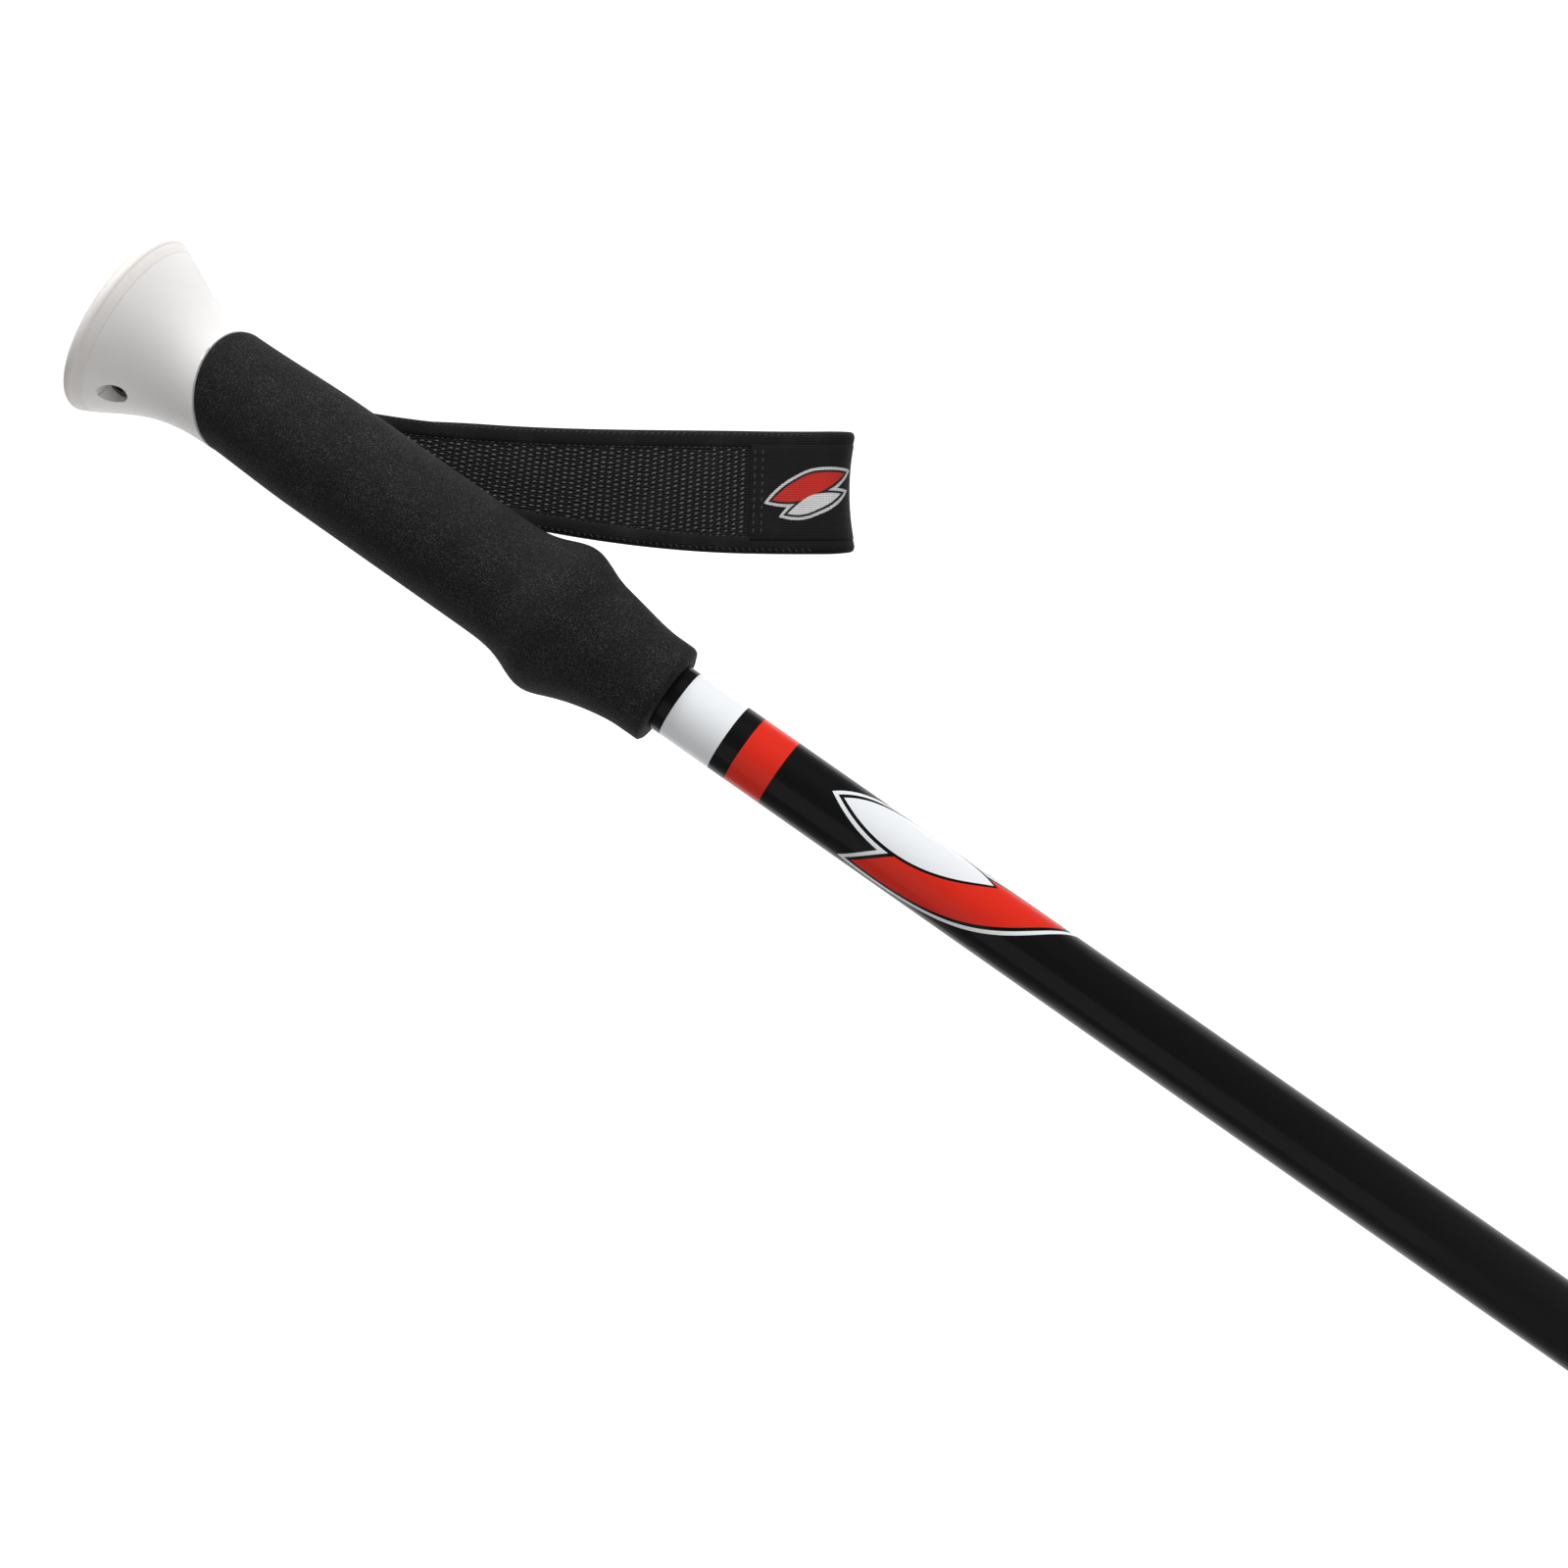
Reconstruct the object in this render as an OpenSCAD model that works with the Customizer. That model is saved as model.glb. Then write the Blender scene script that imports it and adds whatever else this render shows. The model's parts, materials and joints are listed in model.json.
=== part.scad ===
// Telescopic ski pole, packed down. Millimetres, +Z up the shaft, origin at the tip's point.

/* [Lengths] */
// Height of the foam grip's lower end above the tip
foam_z = 500; // [480:1:540]
// Height of the lower lock's underside
lower_lock_z = 92; // [90:1:100]
// Height of the upper lock's underside
upper_lock_z = 150; // [146:1:170]
// Height of the top end of the middle tube
middle_top_z = 588; // [560:1:590]
// Height of the top end of the lower tube
lower_top_z = 558; // [530:1:560]

/* [Tubes] */
// Outer radius of the upper tube
upper_r = 9; // [9:0.5:9.5]
// Step in radius from one tube to the next
tube_step = 1; // [1:0.1:1.2]
// Wall of every tube
tube_wall = 0.8; // [0.6:0.05:0.9]
// Radial clearance of every sliding or turning fit
fit_gap = 0.05; // [0.02:0.01:0.1]

/* [Grip] */
// Length of the foam from its lower end to the cap, on the axis
foam_len = 134; // [130:0.1:140]
// Radius of the foam where the fingers close
foam_r = 15.5; // [15:0.1:17]
// Height of the finger bulge over the foam
bulge_h = 4; // [2:0.1:5]
// Height of the bulge's middle above the foam's lower end
bulge_z = 33.5; // [28:0.5:38]
// Slope of the joint between foam and cap, degrees
seam_slope = 24.9; // [15:0.1:28]
// Turn of the cross screw away from +X, degrees
grip_turn = 31; // [25:1:35]

/* [Cap] */
// Height of the palm pad's widest edge above the foam's lower end
rim_h = 166; // [164:0.1:170]
// Radius of the palm pad's widest edge
rim_r = 24.7; // [24:0.1:27]
// Radius of the cap's neck
neck_r = 14.7; // [14.5:0.1:15.5]
// Depth of the pad's edge, from its widest place down to the cap
pad_edge = 3.6; // [3:0.1:4]
// Rise of the pad's middle above its widest place
pad_rise = 2.4; // [2:0.1:4]
// Sideways lean of the cap towards -X, degrees
cap_lean = 2.3; // [0:0.1:5]
// Height of the cross screw above the foam's lower end
screw_h = 155.3; // [154:0.1:156]
// Height of the strap's mouth above the foam's lower end
mouth_h = 144; // [143:0.1:145]

/* [Strap] */
// Length of the folded loop from mouth to fold
strap_len = 161.7; // [155:0.1:190]
// Width of the strap at its fold
strap_w = 31; // [28:0.5:34]
// Width of the strap at its mouth
mouth_w = 15.5; // [14:0.5:18]
// Thickness of the webbing
web_t = 2.2; // [1.6:0.1:2.4]
// Half of the space between the middles of the loop's two layers
loop_half = 6; // [5:0.1:7]

/* [Basket] */
// Radius of the snow basket
basket_r = 46; // [40:1:50]
// Number of windows in the snow basket
windows = 8; // [7:1:9]

/* [Hidden] */
$fn = 96;

far = 200;
middle_r = upper_r - tube_step;
lower_r = middle_r - tube_step;
joint_gap = 0.3;

// Places along the pole
rim_z = foam_z + rim_h;
pad_seat_z = rim_z - pad_edge;
screw_z = foam_z + screw_h;
mouth_z = foam_z + mouth_h;
lean_z = foam_z + 127;
flare_z = foam_z + 136;
upper_top_z = foam_z + 138;
stem_end_z = foam_z + 108;
socket_depth = 18;

// Foam
foam_edge_r = 2.2;
foot_start = 6;
foot_run = 18;
foot_drop = 2.2;
neck_start = 105;
neck_run = 32;
neck_drop = 0.9;
bulge_w = 8.3;
foam_stock = 148;

// Palm pad
boss_r = 12;
boss_h = 2;
pad_crown = 0.6;
flare_swell = 1.05;

// Cross screw and barrel nut
shank_r = 2.5;
screw_r = 1.5;
head_r = 2.9;
head_x = 18;
head_t = 1.8;
recess_r = 3.3;
key_r = 1.6;
key_depth = 1.2;
screw_end_x = 6;
sleeve_end_x = -10;
thread_end_x = 8;

// The strap's mouth and the hinge line that it swings about
hinge_out = 20.5;
mouth_shift = 4;
mouth_down = atan2(screw_z - mouth_z, hinge_out);
mouth_run = norm([screw_z - mouth_z, hinge_out]);
passage_w = 24.4;
passage_h = 7;
root_r = 1.9;
hinge_x = mouth_shift * cos(grip_turn) - hinge_out * sin(grip_turn);
hinge_y = mouth_shift * sin(grip_turn) + hinge_out * cos(grip_turn);

// The strap leaves the mouth almost straight down and swings sideways to its final heading
heading_start = 16.4;
heading_end = 38.8;
heading_run = 260;
spread_run = 60;
widen_run = 143;
depth_gain = 6;
depth_run = 40;
strap_steps = 26;
fold_steps = 7;
edge_t = 3;
edge_w = 3;
seam_gap = 0.2;
patch_len = 18;
patch_t = 0.7;

// Locks
collar_h = 38;
collar_wall = 4.5;
collar_edge = 1;
body_h = 24;
shoulder_h = 30;
shoulder_in = 1.2;
lip_h = 36;
lip_wall = 2.2;
lip_edge_wall = 1.4;
clamp_h = 18;
slit_w = 2.4;
ear_in = 1.2;
ear_out = 7.5;
ear_r = 6;
ear_rise = 9;
ear_reach = 5.5;
plate_t = 0.8;
plate_r = 5.4;
cam_r = 4.7;
lever_h = 12;
lever_t = 3.2;
lever_gap = 0.6;
eye_r = 3.4;
eye_h = 4.4;
pin_r = 2;
bolt_r = 1.5;
bolt_over = 1;
nut_r = 5.5;
nut_h = 6;
nut_x = ear_out + joint_gap;
pin_x = -(ear_out + plate_t + joint_gap + cam_r);

// Tip end
ferrule_z = 9;
ferrule_top_z = 80;
tube_seat_z = 38;
tip_r = 2.6;
tip_free_h = 8.5;
tip_shank_r = 2.3;
tip_top_z = 22;
hub_z = 44;
hub_h = 14;
thread_r = 8.6;
hub_r = 12.5;
flange_out = 3;
flange_h = 2;

function smooth(t) = let(u = max(0, min(1, t))) u * u * (3 - 2 * u);

// Radius of the foam at a height above its lower end
function foam_radius(h) = foam_r
    - foot_drop * (1 - smooth((h - foot_start) / foot_run))
    - neck_drop * smooth((h - neck_start) / neck_run)
    + bulge_h * exp(-pow((h - bulge_z) / bulge_w, 2));

// Radius of the cap's flare, from 0 at its neck to 1 at its widest edge
function flare_radius(t) = neck_r + (rim_r - neck_r) * (t * t + flare_swell * pow(t, 4) * (1 - t));

// Radius of the flare at a height on the cap's own axis
function flare_at(z) = flare_radius((z - flare_z) / (rim_z - flare_z));

// Heading, half spread, width and twist of the strap at a distance from its mouth
function heading(l) = heading_start
    + (heading_end - heading_start) * sin(90 * min(1, l / heading_run));
function half_spread(l) = root_r + (loop_half - root_r) * smooth(l / spread_run);
function band_width(l) = mouth_w + (strap_w - mouth_w) * smooth(l / widen_run);
function twist(l) = grip_turn * (1 - smooth(l / spread_run));

// Middle line of the folded loop, from the mouth to the fold
strap_ds = strap_len / strap_steps;
strap_line = [for (i = 0, p = [hinge_x, mouth_z]; i <= strap_steps;
    p = p + strap_ds * [sin(heading((i + 0.5) * strap_ds)), -cos(heading((i + 0.5) * strap_ds))],
    i = i + 1) p];

// One place on the loop: its middle, the way along, the way across and the way out of its face
function strap_place(i) = let(
    l = i * strap_ds,
    a = heading(l),
    b = twist(l),
    along = [sin(a), 0, -cos(a)],
    flat_across = [cos(a), 0, sin(a)],
    across = flat_across * cos(b) + [0, sin(b), 0],
    face = cross(across, along))
    [[strap_line[i][0], hinge_y + depth_gain * smooth(l / depth_run), strap_line[i][1]],
    along, across, face, l];

// Stations round the loop: front layer down, fold, back layer up, and round the root
function layer_stations(first, side) = [for (k = [first : strap_steps])
    let(i = side < 0 ? k : strap_steps + first - k, s = strap_place(i), g = half_spread(s[4]))
    [s[0] - side * g * s[3], -side * s[3], s[2], s[4]]];
function turn_stations(i, start) = [for (k = [1 : fold_steps - 1])
    let(s = strap_place(i), g = half_spread(s[4]), a = start + 180 * k / fold_steps)
    [s[0] + g * (cos(a) * s[3] + sin(a) * s[1]), cos(a) * s[3] + sin(a) * s[1], s[2], s[4]]];
loop_stations = concat(layer_stations(0, -1), turn_stations(strap_steps, 0),
    layer_stations(0, 1), turn_stations(0, 180));

// A band that runs round the loop: side -1 to 1 across the width, and two offsets from the face
module band(stations, from_w, to_w, inner, outer, closed) {
    n = len(stations);
    points = [for (s = stations) let(w = band_width(s[3]) / 2, a = from_w(w), b = to_w(w))
        each [s[0] + a * s[2] + inner * s[1], s[0] + b * s[2] + inner * s[1],
        s[0] + b * s[2] + outer * s[1], s[0] + a * s[2] + outer * s[1]]];
    last = closed ? n - 1 : n - 2;
    sides = [for (i = [0 : last], k = [0 : 3]) let(
        a = 4 * i + k, b = 4 * i + (k + 1) % 4,
        c = 4 * ((i + 1) % n) + (k + 1) % 4, d = 4 * ((i + 1) % n) + k)
        each [[a, b, c], [a, c, d]]];
    ends = closed ? [] : [[0, 2, 1], [0, 3, 2], [4 * n - 4, 4 * n - 3, 4 * n - 2],
        [4 * n - 4, 4 * n - 2, 4 * n - 1]];
    polyhedron(points, concat(sides, ends));
}

// Everything above the slanted joint between foam and cap
module above_seam() {
    rotate([0, 0, grip_turn]) translate([0, 0, foam_z + foam_len]) rotate([-seam_slope, 0, 0])
        translate([-far / 2, -far / 2, 0]) cube(far);
}

module leaned() {
    translate([0, 0, lean_z]) rotate([0, -cap_lean, 0])
        translate([0, 0, -lean_z]) children();
}

// A round rod along local X at a height, turned with the grip
module cross_rod(r, x_low, x_high, z) {
    rotate([0, 0, grip_turn]) translate([x_low, 0, z]) rotate([0, 90, 0])
        cylinder(r = r, h = x_high - x_low, $fn = 48);
}

// Pad that carries on the cap's flare to a rounded lip, with a slightly domed top and a round
// boss that plugs into the cap
module palm_pad() {
    lip_r = 2;
    lip_start = -25;
    foot_rise = 0.8;
    dome_r = 0.5 * rim_r;
    color([0.93, 0.9, 0.86]) leaned() rotate_extrude() polygon(concat(
        [[0, pad_seat_z - boss_h], [boss_r, pad_seat_z - boss_h], [boss_r, pad_seat_z]],
        [for (k = [0 : 3]) let(z = pad_seat_z + foot_rise * k) [flare_at(z), z]],
        [for (k = [0 : 10]) let(a = lip_start + (90 - lip_start) * k / 10)
            [rim_r - lip_r + lip_r * cos(a), rim_z + lip_r * sin(a)]],
        [[dome_r, rim_z + pad_rise - pad_crown / 3], [0, rim_z + pad_rise]]));
}

module grip_cap() {
    skirt_z = foam_z + 122;
    chamber_r = 5.5;
    boss_gap = 0.1;
    color([0.95, 0.95, 0.94]) difference() {
        union() {
            intersection() {
                leaned() rotate_extrude() polygon(concat([[0, skirt_z], [neck_r, skirt_z]],
                    [for (k = [0 : 16]) let(z = flare_z + (pad_seat_z - flare_z) * k / 16)
                        [flare_at(z), z]],
                    [[boss_r + boss_gap, pad_seat_z], [boss_r + boss_gap, pad_seat_z - boss_h],
                    [0, pad_seat_z - boss_h]]));
                above_seam();
            }
            translate([0, 0, stem_end_z])
                cylinder(r = upper_r - tube_wall - fit_gap, h = upper_top_z + 1 - stem_end_z);
        }
        difference() {
            translate([0, 0, foam_z]) cylinder(r = upper_r + fit_gap, h = upper_top_z - foam_z);
            cylinder(r = upper_r - tube_wall - fit_gap, h = upper_top_z + 1);
        }
        rotate([0, 0, grip_turn]) translate([-passage_w / 2, 0, screw_z])
            rotate([-mouth_down, 0, 0]) translate([0, 0, -passage_h / 2])
            cube([passage_w, far, passage_h]);
        cross_rod(chamber_r, -passage_w / 2, passage_w / 2, screw_z);
        cross_rod(shank_r + fit_gap, -far / 2, far / 2, screw_z);
        cross_rod(recess_r, -far / 2, -(head_x - head_t), screw_z);
        cross_rod(recess_r, head_x - head_t, far / 2, screw_z);
    }
}

module strap_screw() {
    color([0.25, 0.25, 0.27]) difference() {
        union() {
            cross_rod(head_r, -head_x, -(head_x - head_t), screw_z);
            cross_rod(screw_r, -(head_x - head_t), screw_end_x, screw_z);
        }
        rotate([0, 0, grip_turn]) translate([-head_x - 1, 0, screw_z]) rotate([0, 90, 0])
            cylinder(r = key_r, h = key_depth + 1, $fn = 6);
    }
}

module strap_sleeve() {
    color([0.3, 0.3, 0.32]) difference() {
        union() {
            cross_rod(head_r, head_x - head_t, head_x, screw_z);
            cross_rod(shank_r, sleeve_end_x, head_x - head_t, screw_z);
        }
        cross_rod(screw_r + fit_gap, sleeve_end_x - 1, thread_end_x, screw_z);
    }
}

module foam_grip() {
    color([0.13, 0.13, 0.13]) difference() {
        translate([0, 0, foam_z]) rotate_extrude() polygon(concat([[upper_r + fit_gap, 0]],
            [for (a = [-90 : 15 : 0]) [foam_radius(foam_edge_r) - foam_edge_r * (1 - cos(a)),
                foam_edge_r * (1 + sin(a))]],
            [for (h = [4 : 2 : foam_stock]) [foam_radius(h), h]],
            [[upper_r + fit_gap, foam_stock]]));
        above_seam();
    }
}

module tube(r, low_z, high_z) {
    translate([0, 0, low_z]) difference() {
        cylinder(r = r, h = high_z - low_z);
        translate([0, 0, -1]) cylinder(r = r - tube_wall, h = high_z - low_z + 2);
    }
}

module upper_tube() {
    color([0.1, 0.1, 0.1]) tube(upper_r, upper_lock_z + socket_depth, upper_top_z);
}

module middle_tube() {
    color([0.6, 0.6, 0.62]) tube(middle_r, lower_lock_z + socket_depth, middle_top_z);
}

module lower_tube() {
    color([0.6, 0.6, 0.62]) tube(lower_r, tube_seat_z, lower_top_z);
}

// Plastic guide on the top end of a tube that slides inside the next one
module bush(r, top_z) {
    ring_h = 12;
    spigot_h = 15;
    spigot_wall = 1.4;
    bore_r = r - tube_wall - spigot_wall;
    color([0.2, 0.2, 0.2]) difference() {
        union() {
            translate([0, 0, top_z]) cylinder(r = r + tube_step - tube_wall - fit_gap,
                h = ring_h);
            translate([0, 0, top_z - spigot_h]) cylinder(r = r - tube_wall - fit_gap,
                h = spigot_h + 1);
        }
        translate([0, 0, top_z - spigot_h - 1]) cylinder(r = bore_r, h = ring_h + spigot_h + 2);
    }
}

module middle_bush() bush(middle_r, middle_top_z);
module lower_bush() bush(lower_r, lower_top_z);

// Split clamp on the end of a tube, with two ears for its tension screw
module lock_collar(tube_r, z) {
    r = tube_r + collar_wall;
    color([0.12, 0.12, 0.12]) translate([0, 0, z]) difference() {
        union() {
            rotate_extrude() polygon([[0, 0], [r - collar_edge, 0], [r, collar_edge],
                [r, body_h], [r - shoulder_in, shoulder_h], [tube_r + lip_wall, lip_h],
                [tube_r + lip_edge_wall, collar_h], [0, collar_h]]);
            for (side = [-1, 1]) translate([side * (ear_in + ear_out) / 2, 0, ear_rise]) {
                rotate([0, 90, 0]) translate([0, -r - ear_reach, 0])
                    cylinder(r = ear_r, h = ear_out - ear_in, center = true, $fn = 48);
                translate([0, -r - ear_reach / 2 + 1, 0])
                    cube([ear_out - ear_in, ear_reach + 2, 2 * ear_r], center = true);
            }
        }
        translate([0, 0, socket_depth]) cylinder(r = tube_r + fit_gap, h = collar_h);
        translate([0, 0, -1]) cylinder(r = tube_r - tube_step + fit_gap, h = collar_h);
        translate([-slit_w / 2, -far / 2, -1]) cube([slit_w, far / 2, clamp_h + 1]);
        translate([0, -r - ear_reach, ear_rise]) rotate([0, 90, 0])
            cylinder(r = bolt_r + fit_gap, h = far, center = true, $fn = 48);
    }
}

module lock_wear_plate(tube_r, z) {
    color([0.7, 0.7, 0.72]) translate([-ear_out - plate_t, -tube_r - collar_wall - ear_reach,
        z + ear_rise]) rotate([0, 90, 0]) difference() {
        cylinder(r = plate_r, h = plate_t, $fn = 48);
        translate([0, 0, -1]) cylinder(r = bolt_r + fit_gap, h = plate_t + 2, $fn = 48);
    }
}

module lock_tension_screw(tube_r, z) {
    color([0.7, 0.7, 0.72]) translate([0, -tube_r - collar_wall - ear_reach, z + ear_rise])
        difference() {
        union() {
            translate([pin_x, 0, -eye_h / 2]) cylinder(r = eye_r, h = eye_h, $fn = 48);
            translate([pin_x, 0, 0]) rotate([0, 90, 0])
                cylinder(r = bolt_r, h = nut_x + nut_h + bolt_over - pin_x, $fn = 48);
        }
        translate([pin_x, 0, -far / 2]) cylinder(r = pin_r + fit_gap, h = far, $fn = 48);
    }
}

module lock_lever_pin(tube_r, z) {
    color([0.75, 0.75, 0.77]) translate([pin_x, -tube_r - collar_wall - ear_reach,
        z + ear_rise - lever_h / 2]) cylinder(r = pin_r, h = lever_h, $fn = 48);
}

// Cam lever that wraps round the left side of its clamp and ends in a curled finger tab
module lock_lever(tube_r, z) {
    r = tube_r + collar_wall;
    pin_y = -r - ear_reach;
    inner = r + lever_gap;
    middle = inner + lever_t / 2;
    end_a = 76;
    start_a = 218;
    arc_steps = 6;
    tab_r = 2.3;
    tab_out = 0.8;
    neck_in = 2.9;
    neck_w = 4.2;
    neck_l = ear_reach + 5.6;
    slot_h = eye_h + lever_gap;
    slot_back = 10;
    slot_front = 4.1;
    color([0.8, 0.15, 0.1]) translate([0, 0, z + ear_rise - lever_h / 2]) difference() {
        linear_extrude(lever_h) difference() {
            union() {
                intersection() {
                    difference() {
                        circle(inner + lever_t);
                        circle(inner);
                    }
                    polygon(concat([[0, 0]], [for (k = [0 : arc_steps])
                        let(a = end_a + (start_a - end_a) * k / arc_steps)
                        2 * r * [cos(a), sin(a)]]));
                }
                translate([middle * cos(end_a), middle * sin(end_a) + tab_out])
                    circle(tab_r, $fn = 32);
                translate([pin_x, pin_y]) circle(cam_r);
                translate([pin_x - neck_in, pin_y]) square([neck_w, neck_l]);
            }
            translate([pin_x, pin_y]) circle(pin_r + fit_gap, $fn = 48);
        }
        translate([pin_x - slot_back, pin_y - slot_back, (lever_h - slot_h) / 2])
            cube([2 * slot_back, slot_back + slot_front, slot_h]);
    }
}

module lock_thumb_nut(tube_r, z) {
    notch_count = 10;
    notch_r = 1;
    notch_out = 0.6;
    color([0.15, 0.15, 0.15]) translate([nut_x, -tube_r - collar_wall - ear_reach, z + ear_rise])
        rotate([0, 90, 0]) difference() {
        cylinder(r = nut_r, h = nut_h, $fn = 64);
        translate([0, 0, -1]) cylinder(r = bolt_r + fit_gap, h = nut_h + 2, $fn = 48);
        for (k = [1 : notch_count]) rotate([0, 0, 360 * k / notch_count])
            translate([nut_r + notch_out, 0, -1]) cylinder(r = notch_r, h = nut_h + 2, $fn = 24);
    }
}

module upper_collar() lock_collar(upper_r, upper_lock_z);
module upper_wear_plate() lock_wear_plate(upper_r, upper_lock_z);
module upper_tension_screw() lock_tension_screw(upper_r, upper_lock_z);
module upper_lever_pin() lock_lever_pin(upper_r, upper_lock_z);
module upper_lever() lock_lever(upper_r, upper_lock_z);
module upper_thumb_nut() lock_thumb_nut(upper_r, upper_lock_z);
module lower_collar() lock_collar(middle_r, lower_lock_z);
module lower_wear_plate() lock_wear_plate(middle_r, lower_lock_z);
module lower_tension_screw() lock_tension_screw(middle_r, lower_lock_z);
module lower_lever_pin() lock_lever_pin(middle_r, lower_lock_z);
module lower_lever() lock_lever(middle_r, lower_lock_z);
module lower_thumb_nut() lock_thumb_nut(middle_r, lower_lock_z);

// The strap's two layers inside the cap, round the barrel nut
module strap_tail() {
    tail_t = 4.6;
    eye_wall = 2.3;
    swing_gap = 3;
    end_gap = root_r + edge_t / 2 + swing_gap;
    color([0.1, 0.1, 0.1]) rotate([0, 0, grip_turn])
        translate([mouth_shift / 2 - mouth_w / 2, 0, screw_z]) rotate([-mouth_down, 0, 0])
        difference() {
        union() {
            translate([0, 0, -tail_t / 2]) cube([mouth_w, mouth_run - end_gap, tail_t]);
            rotate([0, 90, 0]) cylinder(r = shank_r + eye_wall, h = mouth_w, $fn = 48);
        }
        translate([-1, 0, 0]) rotate([0, 90, 0])
            cylinder(r = shank_r + fit_gap, h = mouth_w + 2, $fn = 48);
    }
}

module strap_webbing() {
    color([0.12, 0.12, 0.12]) band(loop_stations, function(w) edge_w + seam_gap - w,
        function(w) w - edge_w - seam_gap, -web_t / 2, web_t / 2, true);
}

// Rolled edge tapes on both sides of the webbing
module strap_binding() {
    color([0.08, 0.08, 0.08]) {
        band(loop_stations, function(w) -w, function(w) edge_w - w, -edge_t / 2, edge_t / 2, true);
        band(loop_stations, function(w) w - edge_w, function(w) w, -edge_t / 2, edge_t / 2, true);
    }
}

// Smooth sleeve sewn on the outside of the webbing round the fold
module strap_patch() {
    reach = ceil(patch_len / strap_ds);
    first = strap_steps - reach;
    count = 2 * reach + fold_steps;
    patch_stations = [for (i = [first : first + count]) loop_stations[i]];
    color([0.06, 0.06, 0.07]) band(patch_stations, function(w) edge_w + seam_gap - w,
        function(w) w - edge_w - seam_gap, web_t / 2, web_t / 2 + patch_t, false);
}

module tip_ferrule() {
    color([0.1, 0.1, 0.1]) difference() {
        rotate_extrude() polygon([[0, ferrule_z], [3.4, ferrule_z], [4, ferrule_z + 1],
            [7.2, 29], [thread_r - 0.3, 38], [thread_r, 42], [thread_r, hub_z + hub_h],
            [11, hub_z + hub_h], [11, hub_z + hub_h + 2.4], [9.4, hub_z + hub_h + 4],
            [9, ferrule_top_z - 2], [8.2, ferrule_top_z], [0, ferrule_top_z]]);
        translate([0, 0, tube_seat_z]) cylinder(r = lower_r + fit_gap, h = far);
        cylinder(r = tip_shank_r + fit_gap, h = tip_top_z);
    }
}

// Free end and a thinner shank that is brazed into the ferrule, with a hollow crown at the point
module carbide_tip() {
    crown = 1.8;
    rim = 0.2;
    color([0.65, 0.66, 0.68]) difference() {
        union() {
            cylinder(r = tip_r, h = tip_free_h, $fn = 64);
            cylinder(r = tip_shank_r, h = tip_top_z, $fn = 64);
        }
        translate([0, 0, -0.1]) cylinder(r1 = tip_r - rim, r2 = 0.1, h = crown, $fn = 64);
    }
}

module basket_hub() {
    color([0.12, 0.12, 0.12]) translate([0, 0, hub_z]) difference() {
        union() {
            cylinder(r = hub_r, h = hub_h);
            cylinder(r = hub_r + flange_out, h = flange_h);
        }
        translate([0, 0, -1]) cylinder(r = thread_r + fit_gap, h = hub_h + 2);
    }
}

// Flexible disc with a raised rim, a ring seat round the hub and rounded windows
module basket_disc() {
    web_h = 1.8;
    window_in = 20;
    rim_w = 6;
    window_out = basket_r - rim_w;
    spoke_half = 3.2;
    disc_z = hub_z + flange_h;
    color([0.14, 0.14, 0.14]) difference() {
        translate([0, 0, disc_z]) rotate_extrude() polygon([[hub_r + fit_gap, 0], [24, 0],
            [basket_r - 3, 3], [basket_r - 0.5, 3.6], [basket_r, 5], [basket_r - 0.6, 7.4],
            [basket_r - 2.4, 7.6], [basket_r - 3.6, 3 + web_h + 0.8], [24, web_h],
            [hub_r + 4, web_h], [hub_r + 2.4, 7], [hub_r + fit_gap, 7]]);
        for (k = [0 : windows - 1]) rotate([0, 0, 360 * (k + 0.5) / windows])
            translate([0, 0, disc_z - 1]) linear_extrude(12) intersection() {
                difference() {
                    circle(window_out);
                    circle(window_in);
                }
                translate([spoke_half / sin(180 / windows), 0]) polygon([[0, 0],
                    2 * basket_r * [cos(180 / windows), sin(180 / windows)],
                    2 * basket_r * [cos(180 / windows), -sin(180 / windows)]]);
            }
    }
}

palm_pad();
grip_cap();
strap_screw();
strap_sleeve();
foam_grip();
upper_tube();
upper_collar();
upper_tension_screw();
upper_lever_pin();
upper_wear_plate();
upper_lever();
upper_thumb_nut();
strap_tail();
strap_webbing();
strap_binding();
strap_patch();
middle_tube();
middle_bush();
lower_collar();
lower_tension_screw();
lower_lever_pin();
lower_wear_plate();
lower_lever();
lower_thumb_nut();
lower_tube();
lower_bush();
tip_ferrule();
carbide_tip();
basket_hub();
basket_disc();
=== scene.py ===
# %% [markdown]
# # A telescopic ski pole, packed down
# The pole stands on its tip with +Z up the shaft. The design model is loaded first and stays as it is: it says where
# every part lies and how it moves. Lengths below are written in millimetres and turned into metres by MM.

# %% Load the design model
import json
import math

import bmesh
import bpy
from mathutils import Matrix, Vector


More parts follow.
